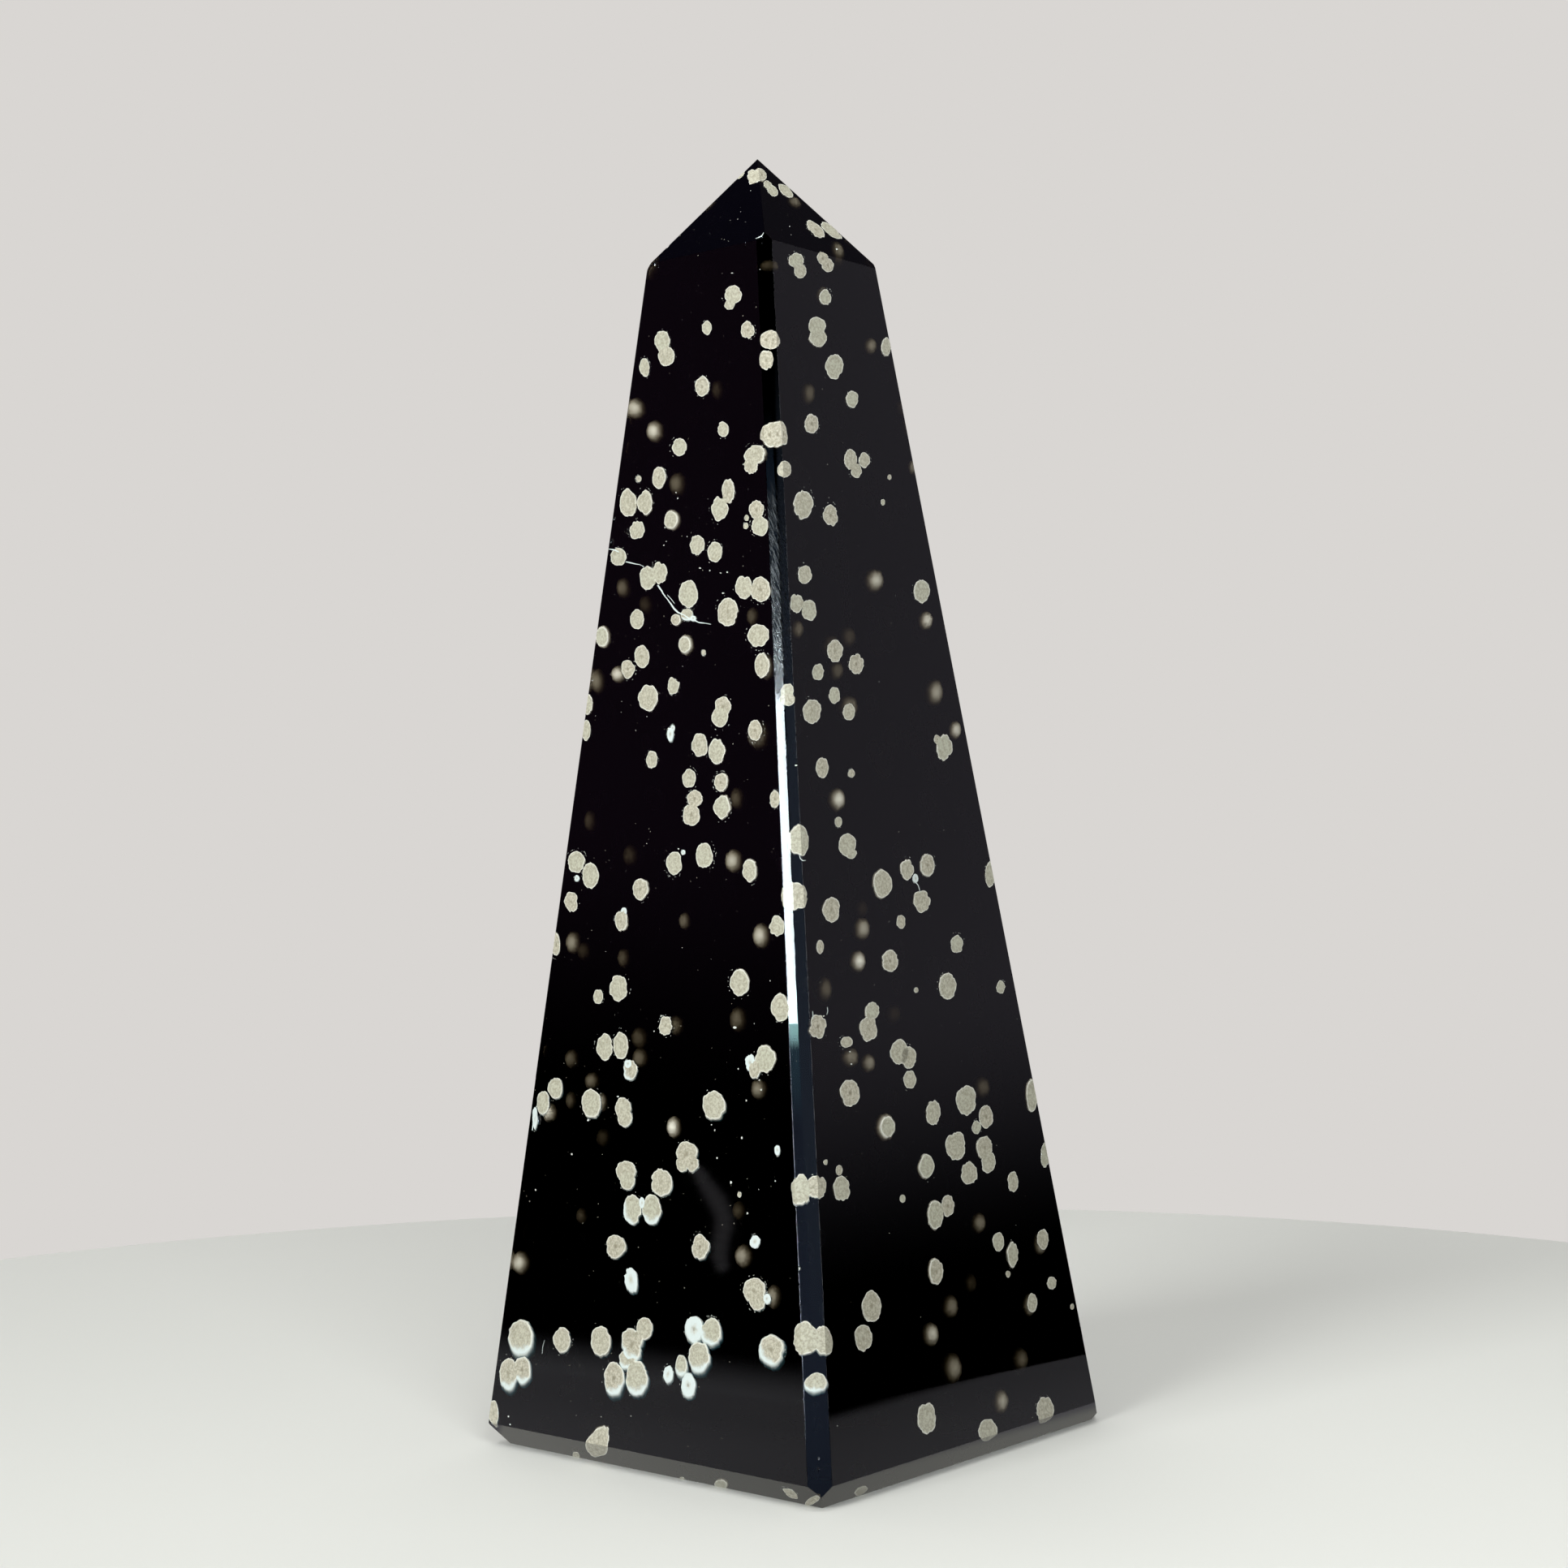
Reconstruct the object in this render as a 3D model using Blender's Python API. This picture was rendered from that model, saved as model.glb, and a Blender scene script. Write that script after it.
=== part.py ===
"""Polished obsidian obelisk, ground from one piece of volcanic glass.

Units are metres and +Z is up.  The origin is the middle of the flat foot.
The four tall faces look along -X, +X, -Y and +Y, and the tip is on the Z axis.
The stone is made as a lapidary makes it: a sawn block is ground flat, one facet
at a time, and its edges are then eased by polishing.
"""
import math

import bmesh
import bpy
from mathutils import Vector

# Driving dimensions
HEIGHT = 0.100
BASE_WIDTH = 0.0343
FOOT_WIDTH = 0.0311
BASE_BEVEL_HEIGHT = 0.0016
SHOULDER_WIDTH = 0.0128
SHOULDER_HEIGHT = 0.0916
CORNER_FACET_AT_BASE = 0.00147
CORNER_FACET_AT_SHOULDER = 0.00103
EDGE_ROUNDING = 0.00015
EDGE_ROUNDING_STEPS = 2

# How much larger than the finished stone the sawn block is
BLOCK_ALLOWANCE = 0.004
# A corner nearer than this to a grinding plane counts as lying on it
GRINDING_TOLERANCE = 0.000002

SIDES = 4
QUARTER_TURN = math.pi / 2
HALF_CORNER = math.pi / 4


def sawn_block():
    """The rough block: the foot is already flat at Z = 0, the rest is oversize."""
    width = BASE_WIDTH + BLOCK_ALLOWANCE
    height = HEIGHT + BLOCK_ALLOWANCE
    block = bmesh.new()
    bmesh.ops.create_cube(block, size=1.0)
    bmesh.ops.scale(block, vec=(width, width, height), verts=block.verts)
    bmesh.ops.translate(block, vec=(0.0, 0.0, height / 2), verts=block.verts)
    return block


def grind(stone, distance_low, z_low, distance_high, z_high, angle):
    """Take off all that is outside one flat facet, and close the stone again.

    The facet looks out from the Z axis at the given angle.  It passes the axis at
    distance_low at the height z_low, and at distance_high at the height z_high.
    """
    outward = Vector((math.cos(angle), math.sin(angle), 0.0))
    point = outward * distance_low + Vector((0.0, 0.0, z_low))
    lean = (distance_low - distance_high) / (z_high - z_low)
    normal = (outward + Vector((0.0, 0.0, lean))).normalized()
    cut = bmesh.ops.bisect_plane(
        stone,
        geom=stone.verts[:] + stone.edges[:] + stone.faces[:],
        dist=GRINDING_TOLERANCE,
        plane_co=point,
        plane_no=normal,
        clear_outer=True,
    )
    rim = [piece for piece in cut["geom_cut"] if isinstance(piece, bmesh.types.BMEdge)]
    bmesh.ops.contextual_create(stone, geom=rim)


def grind_all_round(stone, distance_low, z_low, distance_high, z_high, first_angle):
    """The same facet on each of the four sides, or on each of the four corners."""
    for side in range(SIDES):
        angle = first_angle + side * QUARTER_TURN
        grind(stone, distance_low, z_low, distance_high, z_high, angle)


def corner_distance(width, facet):
    """From the axis to a flat of this width across a square's corner."""
    return width / 2 * math.sqrt(2.0) - facet / 2


def ease_edges(stone):
    """Polishing leaves a small round on every edge and on the tip."""
    bmesh.ops.bevel(
        stone,
        geom=stone.edges[:],
        offset=EDGE_ROUNDING,
        offset_type="OFFSET",
        segments=EDGE_ROUNDING_STEPS,
        profile=0.5,
        affect="EDGES",
        clamp_overlap=True,
    )


def obsidian_glass():
    """Near-black volcanic glass with a wet polish."""
    material = bpy.data.materials.new("polished_obsidian")
    material.use_nodes = True
    shader = material.node_tree.nodes["Principled BSDF"]
    shader.inputs["Base Color"].default_value = (0.006, 0.006, 0.008, 1.0)
    shader.inputs["Metallic"].default_value = 0.0
    shader.inputs["Roughness"].default_value = 0.06
    shader.inputs["IOR"].default_value = 1.49
    return material


def make_obelisk():
    stone = sawn_block()

    # The four tall faces taper from the base to the shoulder.
    grind_all_round(stone, BASE_WIDTH / 2, BASE_BEVEL_HEIGHT,
                    SHOULDER_WIDTH / 2, SHOULDER_HEIGHT, 0.0)
    # The low pyramid starts at the shoulder and ends in the tip.
    grind_all_round(stone, SHOULDER_WIDTH / 2, SHOULDER_HEIGHT, 0.0, HEIGHT, 0.0)
    # A narrow flat takes off each long corner.
    grind_all_round(stone, corner_distance(BASE_WIDTH, CORNER_FACET_AT_BASE), BASE_BEVEL_HEIGHT,
                    corner_distance(SHOULDER_WIDTH, CORNER_FACET_AT_SHOULDER), SHOULDER_HEIGHT,
                    HALF_CORNER)
    # A bevel round the foot keeps its edge from chipping.
    grind_all_round(stone, FOOT_WIDTH / 2, 0.0, BASE_WIDTH / 2, BASE_BEVEL_HEIGHT, 0.0)
    ease_edges(stone)

    bmesh.ops.recalc_face_normals(stone, faces=stone.faces)
    mesh = bpy.data.meshes.new("obelisk")
    stone.to_mesh(mesh)
    stone.free()
    mesh.materials.append(obsidian_glass())
    obelisk = bpy.data.objects.new("obelisk", mesh)
    bpy.context.scene.collection.objects.link(obelisk)
    return obelisk


def main():
    for old in list(bpy.data.objects):
        bpy.data.objects.remove(old, do_unlink=True)
    make_obelisk()


main()
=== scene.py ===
"""A polished snowflake-obsidian obelisk, dressed round its CAD frame.

Units are metres and +Z is up.  The middle of the flat foot is the origin, and the four
tall faces look along -X, +X, -Y and +Y.  The photo shows the -X face on its left and
the -Y face on its right.
"""

import math
import random

import bmesh
import bpy
from mathutils import Matrix, Vector


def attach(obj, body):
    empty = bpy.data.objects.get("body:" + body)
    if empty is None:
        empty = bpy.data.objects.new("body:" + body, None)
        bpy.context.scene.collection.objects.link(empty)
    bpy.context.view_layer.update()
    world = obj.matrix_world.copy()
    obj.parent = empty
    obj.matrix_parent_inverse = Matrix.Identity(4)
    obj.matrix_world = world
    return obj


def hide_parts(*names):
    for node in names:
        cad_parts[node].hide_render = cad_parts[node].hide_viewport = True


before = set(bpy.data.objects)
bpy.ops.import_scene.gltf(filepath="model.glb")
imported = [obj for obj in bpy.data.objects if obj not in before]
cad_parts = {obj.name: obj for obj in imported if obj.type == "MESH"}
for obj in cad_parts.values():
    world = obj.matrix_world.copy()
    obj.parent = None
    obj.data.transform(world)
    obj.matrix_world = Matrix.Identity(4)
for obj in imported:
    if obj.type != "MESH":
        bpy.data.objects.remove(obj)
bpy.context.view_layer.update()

# The camera stands where the photo was taken, about 20 cm from the stone and just below
# its middle.  It comes first because every marking that the photo shows is placed by the
# picture point at which it is seen.  Its place is a fit to the stone's edges.
PHOTO_PIXELS = 1932
FOCAL_PIXELS = 3114
SENSOR_MM = 36.0
CAMERA_PLACE = Vector((-0.14968, -0.13023, 0.0463))
CAMERA_YAW = math.radians(-49.15)
CAMERA_PITCH = 0.0217
CAMERA_ROLL = -0.0302

camera_turn = (
    Matrix.Rotation(CAMERA_YAW, 3, "Z")
    @ Matrix.Rotation(math.pi / 2 + CAMERA_PITCH, 3, "X")
    @ Matrix.Rotation(CAMERA_ROLL, 3, "Z")
)
camera_data = bpy.data.cameras.new("photo_camera")
camera_data.sensor_width = SENSOR_MM
camera_data.lens = SENSOR_MM * FOCAL_PIXELS / PHOTO_PIXELS
camera_data.clip_start = 0.01
camera_data.clip_end = 10.0
camera = bpy.data.objects.new("photo_camera", camera_data)
camera.location = CAMERA_PLACE
camera.rotation_euler = camera_turn.to_euler()
bpy.context.scene.collection.objects.link(camera)
bpy.context.scene.camera = camera


def sight_line(x, y):
    """The direction in which the camera sees a point of the photo."""
    across = (x - PHOTO_PIXELS / 2) / FOCAL_PIXELS
    down = (y - PHOTO_PIXELS / 2) / FOCAL_PIXELS
    return (camera_turn @ Vector((across, -down, -1.0))).normalized()


# The stone: one block of black volcanic glass, sawn, ground flat facet by facet and
# polished.  It was ground by hand, so no two faces are quite alike.  Each long corner
# has a narrow strip, ground in two passes, that is less finely polished than the faces.
HEIGHT = 0.100
SHOULDER_HEIGHT = 0.0916
SIDES = ("east", "north", "west", "south")
# Distances from the axis to the middle of each face, at the bevel and at the shoulder
FACE_AT_BASE = {"east": 0.01715, "north": 0.01718, "west": 0.01687, "south": 0.01750}
FACE_AT_SHOULDER = {"east": 0.00640, "north": 0.00638, "west": 0.00648, "south": 0.00639}
# How far each face is turned from square
FACE_TURN = {"east": 0.0, "north": -0.4, "west": -1.4, "south": -1.2}
PYRAMID_AT_SHOULDER = {"east": 0.00639, "north": 0.00623, "west": 0.00652, "south": 0.00624}
PYRAMID_TURN = {"east": 0.0, "north": 1.2, "west": -0.6, "south": 0.0}
FOOT_EDGE = {"east": 0.01605, "north": 0.01605, "west": 0.01565, "south": 0.01650}
BEVEL_HEIGHT = {"east": 0.00160, "north": 0.00155, "west": 0.00169, "south": 0.00164}
# Each corner strip: its direction, and its distance from the axis at the base and shoulder
STRIPS = (
    (45.0, 0.02351, 0.00854),
    (135.0, 0.02388, 0.00886),
    (225.0, 0.02351, 0.00854),
    (315.0, 0.02349, 0.00895),
)
STRIP_FOOT_HEIGHT = 0.0016
STRIP_HALF_AT_BASE = 0.00080
STRIP_HALF_AT_SHOULDER = 0.00056
# The two passes meet a little to one side of the strip's middle
FIRST_PASS_TURN = math.radians(-7.0)
SECOND_PASS_TURN = math.radians(4.0)
EDGE_ROUNDING = 0.00011
EDGE_ROUNDING_STEPS = 3
EDGE_LEAST = math.radians(20.0)
SAWN_WIDTH = 0.040
SAWN_HEIGHT = 0.104
GLASS_IOR = 1.49


def facet(low, z_low, high, z_high, azimuth):
    """One ground flat, as a point on it and the direction in which it looks."""
    outward = Vector((math.cos(azimuth), math.sin(azimuth), 0.0))
    lean = (low - high) / (z_high - z_low)
    looks = (outward + Vector((0.0, 0.0, lean))).normalized()
    return outward * low + Vector((0.0, 0.0, z_low)), looks


def pass_distance(middle, half_width, turn):
    """From the axis to a pass that starts at one border of a strip and is turned from it."""
    return middle * math.cos(turn) + half_width * math.sin(abs(turn))


tall_faces = []
pyramid_faces = []
base_bevels = []
for number, side in enumerate(SIDES):
    azimuth = math.radians(90.0 * number + FACE_TURN[side])
    at_base = FACE_AT_BASE[side]
    tall_faces.append(facet(at_base, BEVEL_HEIGHT[side],
                            FACE_AT_SHOULDER[side], SHOULDER_HEIGHT, azimuth))
    base_bevels.append(facet(FOOT_EDGE[side], 0.0, at_base, BEVEL_HEIGHT[side], azimuth))
    azimuth = math.radians(90.0 * number + PYRAMID_TURN[side])
    pyramid_faces.append(facet(PYRAMID_AT_SHOULDER[side], SHOULDER_HEIGHT, 0.0, HEIGHT, azimuth))
corner_strips = []
for azimuth, at_base, at_shoulder in STRIPS:
    for turn in (FIRST_PASS_TURN, SECOND_PASS_TURN):
        corner_strips.append(facet(
            pass_distance(at_base, STRIP_HALF_AT_BASE, turn), STRIP_FOOT_HEIGHT,
            pass_distance(at_shoulder, STRIP_HALF_AT_SHOULDER, turn), SHOULDER_HEIGHT,
            math.radians(azimuth) + turn))
foot = (Vector((0.0, 0.0, 0.0)), Vector((0.0, 0.0, -1.0)))
ground_facets = tall_faces + pyramid_faces + corner_strips + base_bevels

bpy.ops.object.select_all(action="DESELECT")
bpy.ops.mesh.primitive_cube_add(size=1.0, location=(0.0, 0.0, SAWN_HEIGHT / 2))
stone = bpy.context.object
stone.name = "obsidian_obelisk"
stone.scale = (SAWN_WIDTH, SAWN_WIDTH, SAWN_HEIGHT)
bpy.ops.object.transform_apply(location=True, rotation=True, scale=True)
bpy.ops.object.mode_set(mode="EDIT")
for place, looks in ground_facets:
    bpy.ops.mesh.select_all(action="SELECT")
    bpy.ops.mesh.bisect(plane_co=place, plane_no=looks, use_fill=True, clear_outer=True,
                        threshold=0.000001)
bpy.ops.object.mode_set(mode="OBJECT")

# The ridge where the two passes of a strip meet is left crisp.
RIDGE_LEAST = math.radians(8.0)
RIDGE_MOST = math.radians(14.0)
shape = bmesh.new()
shape.from_mesh(stone.data)
for edge in shape.edges:
    if RIDGE_LEAST < edge.calc_face_angle() < RIDGE_MOST:
        edge.smooth = False
shape.to_mesh(stone.data)
shape.free()

easing = stone.modifiers.new("eased_edges", "BEVEL")
easing.limit_method = "ANGLE"
easing.angle_limit = EDGE_LEAST
easing.width = EDGE_ROUNDING
easing.segments = EDGE_ROUNDING_STEPS
bpy.ops.object.modifier_apply(modifier="eased_edges")


def seen_facet(direction):
    """The facet that a sight line meets, as its number and the distance to it."""
    nearest = None
    for number, (place, looks) in enumerate(ground_facets):
        facing = direction.dot(looks)
        if facing < 0.0:
            distance = (place - CAMERA_PLACE).dot(looks) / facing
            if nearest is None or distance > nearest[1]:
                nearest = (number, distance)
    return nearest


# Small shells have flaked off the edges.  Each entry is a chip's picture point, the
# radius of the flake in metres and how deep it bites.
CHIPS = [
    (937, 294, 0.00060, 0.00007), (939, 300, 0.00025, 0.00005), (918, 303, 0.00010, 0.00003),
    (807, 326, 0.00030, 0.00010), (811, 329, 0.00022, 0.00006), (823, 304, 0.00025, 0.00010),
    (757, 640, 0.00030, 0.00008), (754, 668, 0.00040, 0.00010), (753, 690, 0.00030, 0.00009),
    (730, 838, 0.00028, 0.00007), (664, 1380, 0.00050, 0.00012), (613, 1742, 0.00040, 0.00008),
    (1124, 577, 0.00028, 0.00008), (981, 943, 0.00022, 0.00006), (985, 1563, 0.00018, 0.00006),
    (1008, 1797, 0.00018, 0.00005), (1008, 1810, 0.00015, 0.00005), (919, 299, 0.00014, 0.00004),
]
CHIP_STRETCH = (1.0, 0.8, 1.2)
flakes = []
for x, y, radius, bite in CHIPS:
    direction = sight_line(x, y)
    number, distance = seen_facet(direction)
    place, looks = ground_facets[number]
    bpy.ops.object.select_all(action="DESELECT")
    bpy.ops.mesh.primitive_ico_sphere_add(
        subdivisions=3, radius=radius,
        location=CAMERA_PLACE + direction * distance + looks * (radius - bite))
    bpy.context.object.scale = CHIP_STRETCH
    flakes.append(bpy.context.object)
bpy.ops.object.select_all(action="DESELECT")
for flake in flakes:
    flake.select_set(True)
bpy.context.view_layer.objects.active = flakes[0]
bpy.ops.object.join()
bpy.ops.object.transform_apply(location=True, rotation=True, scale=True)
flaking = stone.modifiers.new("flaked_chips", "BOOLEAN")
flaking.operation = "DIFFERENCE"
flaking.object = flakes[0]
flaking.use_self = True
bpy.ops.object.select_all(action="DESELECT")
stone.select_set(True)
bpy.context.view_layer.objects.active = stone
bpy.ops.object.modifier_apply(modifier="flaked_chips")
bpy.data.objects.remove(flakes[0], do_unlink=True)
SHARP_FROM = math.radians(24.0)
bpy.ops.object.shade_smooth_by_angle(angle=SHARP_FROM, keep_sharp_edges=True)
true_flats = stone.modifiers.new("true_flats", "WEIGHTED_NORMAL")
true_flats.mode = "FACE_AREA"
true_flats.weight = 100
true_flats.keep_sharp = True
bpy.ops.object.modifier_apply(modifier="true_flats")


def linear(hex_colour):
    """An sRGB hex colour as the linear colour that a shader socket takes."""
    channels = [int(hex_colour[i:i + 2], 16) / 255 for i in (1, 3, 5)]
    return [c / 12.92 if c <= 0.04045 else ((c + 0.055) / 1.055) ** 2.4 for c in channels] + [1.0]


def add_node(tree, kind, inputs=None, **settings):
    """Add a node with its settings, and set or link its inputs."""
    node = tree.nodes.new(kind)
    for name, value in settings.items():
        setattr(node, name, value)
    for name, value in (inputs or {}).items():
        if isinstance(value, bpy.types.NodeSocket):
            tree.links.new(value, node.inputs[name])
        else:
            node.inputs[name].default_value = value
    return node


# Polished obsidian: near-black natural glass with a wet polish.  Light goes about a third
# of a millimetre into it, and comes back brown from whatever lies there.
# Light lost for each metre of glass, for red, green and blue
GLASS_ABSORPTION = (2900.0, 3120.0, 3500.0)
ABSORPTION_DENSITY = 3600.0
polished = bpy.data.materials.new("polished_obsidian")
polished.use_nodes = True
tree = polished.node_tree
tree.nodes.clear()
surface = add_node(tree, "ShaderNodeBsdfPrincipled", {
    "Base Color": linear("#FFFFFF"),
    "Roughness": 0.02,
    "IOR": GLASS_IOR,
    "Transmission Weight": 1.0,
})
tint = [1.0 - loss / ABSORPTION_DENSITY for loss in GLASS_ABSORPTION] + [1.0]
body = add_node(tree, "ShaderNodeVolumeAbsorption", {
    "Color": tint,
    "Density": ABSORPTION_DENSITY,
})
add_node(tree, "ShaderNodeOutputMaterial", {
    "Surface": surface.outputs["BSDF"],
    "Volume": body.outputs["Volume"],
})

# The corner strips: the same glass.  Between 57 and 73 mm up they have a satin finish
# with steep slanting scratches 0.1 mm apart, and the full polish elsewhere.
SATIN_FOOT = (0.0560, 0.0590)
SATIN_HEAD = (0.0700, 0.0745)
SCRATCH_SLANT = math.radians(24.0)
# Width and length of a scratch
SCRATCH_SIZE = (0.00011, 0.0012, 1.0)
satin = bpy.data.materials.new("satin_obsidian")
satin.use_nodes = True
tree = satin.node_tree
tree.nodes.clear()
where = add_node(tree, "ShaderNodeTexCoord")
apart = add_node(tree, "ShaderNodeSeparateXYZ", {0: where.outputs["Object"]})
depth_x = add_node(tree, "ShaderNodeMath", {0: apart.outputs["X"]}, operation="ABSOLUTE")
depth_y = add_node(tree, "ShaderNodeMath", {0: apart.outputs["Y"]}, operation="ABSOLUTE")
beside = add_node(tree, "ShaderNodeMath", {
    0: depth_y.outputs[0],
    1: depth_x.outputs[0],
}, operation="SUBTRACT")
on_strip = add_node(tree, "ShaderNodeCombineXYZ", {
    "X": beside.outputs[0],
    "Y": apart.outputs["Z"],
})
slanted = add_node(tree, "ShaderNodeMapping", {
    "Vector": on_strip.outputs[0],
    "Rotation": (0.0, 0.0, SCRATCH_SLANT),
    "Scale": SCRATCH_SIZE,
}, vector_type="TEXTURE")
scratches = add_node(tree, "ShaderNodeTexNoise", {
    "Vector": slanted.outputs[0],
    "Scale": 1.0,
    "Detail": 3.0,
    "Roughness": 0.7,
})
above = add_node(tree, "ShaderNodeMapRange", {
    "Value": apart.outputs["Z"],
    "From Min": SATIN_FOOT[0],
    "From Max": SATIN_FOOT[1],
}, interpolation_type="SMOOTHSTEP")
below = add_node(tree, "ShaderNodeMapRange", {
    "Value": apart.outputs["Z"],
    "From Min": SATIN_HEAD[0],
    "From Max": SATIN_HEAD[1],
    "To Min": 1.0,
    "To Max": 0.0,
}, interpolation_type="SMOOTHSTEP")
height = add_node(tree, "ShaderNodeMath", {
    0: above.outputs["Result"],
    1: below.outputs["Result"],
}, operation="MULTIPLY")
haze = add_node(tree, "ShaderNodeMapRange", {
    "Value": scratches.outputs["Fac"],
    "From Min": 0.43,
    "From Max": 0.62,
    "To Min": 0.03,
    "To Max": 0.30,
})
finish = add_node(tree, "ShaderNodeMath", {
    0: haze.outputs["Result"],
    1: height.outputs[0],
    2: 0.015,
}, operation="MULTIPLY_ADD")
scored = add_node(tree, "ShaderNodeBump", {
    "Strength": height.outputs[0],
    "Distance": 0.000005,
    "Height": scratches.outputs["Fac"],
})
surface = add_node(tree, "ShaderNodeBsdfPrincipled", {
    "Base Color": linear("#FFFFFF"),
    "Roughness": finish.outputs[0],
    "IOR": GLASS_IOR,
    "Transmission Weight": 1.0,
    "Normal": scored.outputs["Normal"],
})
body = add_node(tree, "ShaderNodeVolumeAbsorption", {
    "Color": tint,
    "Density": ABSORPTION_DENSITY,
})
add_node(tree, "ShaderNodeOutputMaterial", {
    "Surface": surface.outputs["BSDF"],
    "Volume": body.outputs["Volume"],
})

# Which faces of the mesh belong to a corner strip
STRIP_SPREAD = math.radians(12.0)
STRIP_LEAN = 0.3
stone.data.materials.append(polished)
stone.data.materials.append(satin)
for face in stone.data.polygons:
    azimuth = math.atan2(face.normal.y, face.normal.x)
    from_corner = abs((azimuth % (math.pi / 2)) - math.pi / 4)
    upright = abs(face.normal.z) < STRIP_LEAN
    face.material_index = 1 if upright and from_corner < STRIP_SPREAD else 0
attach(stone, "root")
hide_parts("obelisk")

# The spherulites that the grinding cut open: round grey-white growths of cristobalite
# and feldspar inside the glass, 1 to 2.3 mm across, ground off flush with the faces and
# polished with them.  The photo shows these on the near faces and the strip between them.

# Each entry is the picture point of a spot's middle, its width and height there and,
# where it lies slanted, its turn in degrees, in the photo's pixels.
SEEN_ON_PYRAMID = [
    (929, 217, 17, 18, -35), (937, 215, 19, 14, 50), (912, 214, 9, 17, 40),
    (946, 228, 12, 9, 40), (952, 235, 17, 11, 50), (968, 235, 24, 11, 42),
    (1004.8, 282.8, 31, 14, 43), (1024.4, 284.6, 35, 11, 39),
]
SEEN_ON_LEFT_FACE = [
    (903.5, 363, 23, 25), (899, 375, 14, 14), (871, 404, 12, 18), (921.3, 406.3, 18, 24),
    (816, 421, 20, 28), (821, 439, 22, 26), (794, 453, 14, 25), (865, 476, 18, 26),
    (891, 529, 14, 20), (837, 551, 20, 24), (929, 560, 27, 24), (925, 574, 18, 22),
    (812, 589, 17, 28), (787, 590, 7, 9), (774, 619, 22, 37), (794, 619, 20, 33),
    (785, 653, 20, 24), (897, 605, 16, 31), (887, 627, 22, 32), (932, 628, 20, 26),
    (936, 648, 22, 27), (920, 638, 6, 8), (919, 648, 6, 8), (859, 672, 20, 28),
    (881, 680, 20, 28), (762, 686, 20, 22), (798, 712, 20, 30), (813, 706, 20, 30),
    (848, 732, 26, 38), (785, 763, 17, 25), (916, 724, 22, 31),
    (937, 726, 27, 35), (897, 754, 26, 36), (934, 783, 28, 30), (867, 804, 5, 7),
    (791, 809, 20, 31), (774, 825, 18, 25), (939, 820, 19, 33), (830, 845, 15, 22),
    (798, 860, 25, 34), (891, 870, 20, 24), (887, 884, 22, 26), (724, 868, 12, 26),
    (722, 900, 12, 28), (862, 918, 20, 29), (883, 926, 21, 33), (930.5, 900, 19, 28),
    (803, 936, 14, 22), (849, 959, 18, 25), (888, 964, 17, 24), (856, 984, 20, 22),
    (852, 1004, 22, 28), (889, 995, 22, 31), (868, 1054, 23, 34), (923, 1073, 18, 30),
    (957, 1141, 20, 28), (911, 1211, 25, 35), (943, 1305, 27, 36), (930, 1318, 14, 22),
    (710.4, 1062, 22, 28), (727.8, 1078.8, 21, 34), (703.3, 1111.4, 17, 26),
    (684, 1163, 12, 30), (789, 1096, 20, 28), (765, 1135, 16, 26), (830.3, 1064, 21, 31),
    (762, 1218, 24, 36), (737, 1228, 12, 18), (820, 1264, 17, 24), (745, 1290, 22, 37),
    (765, 1288, 19, 35), (683.5, 1341, 18, 26), (669, 1359, 15, 30), (728.3, 1358.8, 24, 36),
    (767.6, 1366, 20, 28), (770, 1377, 18, 24), (879.6, 1361.3, 28, 36), (846, 1421, 27, 30),
    (840.5, 1434, 15, 20), (853, 1434, 15, 20), (771, 1444, 25, 28), (773, 1455, 18, 22),
    (815.3, 1456.7, 26, 35), (759, 1536, 24, 30), (863, 1536, 22, 32),
    (929, 1590, 28, 32), (933, 1603, 20, 24), (911, 1472, 5, 7), (692, 1651, 22, 32),
    (740, 1652.5, 24.5, 38), (794, 1637, 20, 28), (735, 1781, 28, 30), (710, 1794, 9, 10),
    (840, 1824, 8, 9), (608, 1741, 12, 32),
]
SEEN_ON_STRIP = [
    (949.4, 418.6, 30, 26), (944, 444, 20, 26), (956, 535, 36, 34), (967, 578, 17, 23),
    (970, 852, 16, 20), (970, 862, 20, 16), (985, 1035, 29, 40), (979, 1104, 35, 36),
    (982, 744, 18, 26), (997, 752, 18, 26), (987, 1465, 24, 38), (1006, 1462, 26, 28),
    (1013, 1461, 10, 22), (993, 1648, 34, 42), (1016, 1651, 26, 36), (955, 984.5, 13, 23),
    (961, 1241, 23, 36), (974, 1840, 22, 9, 32), (1001, 1849, 22, 9, -28),
]
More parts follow.
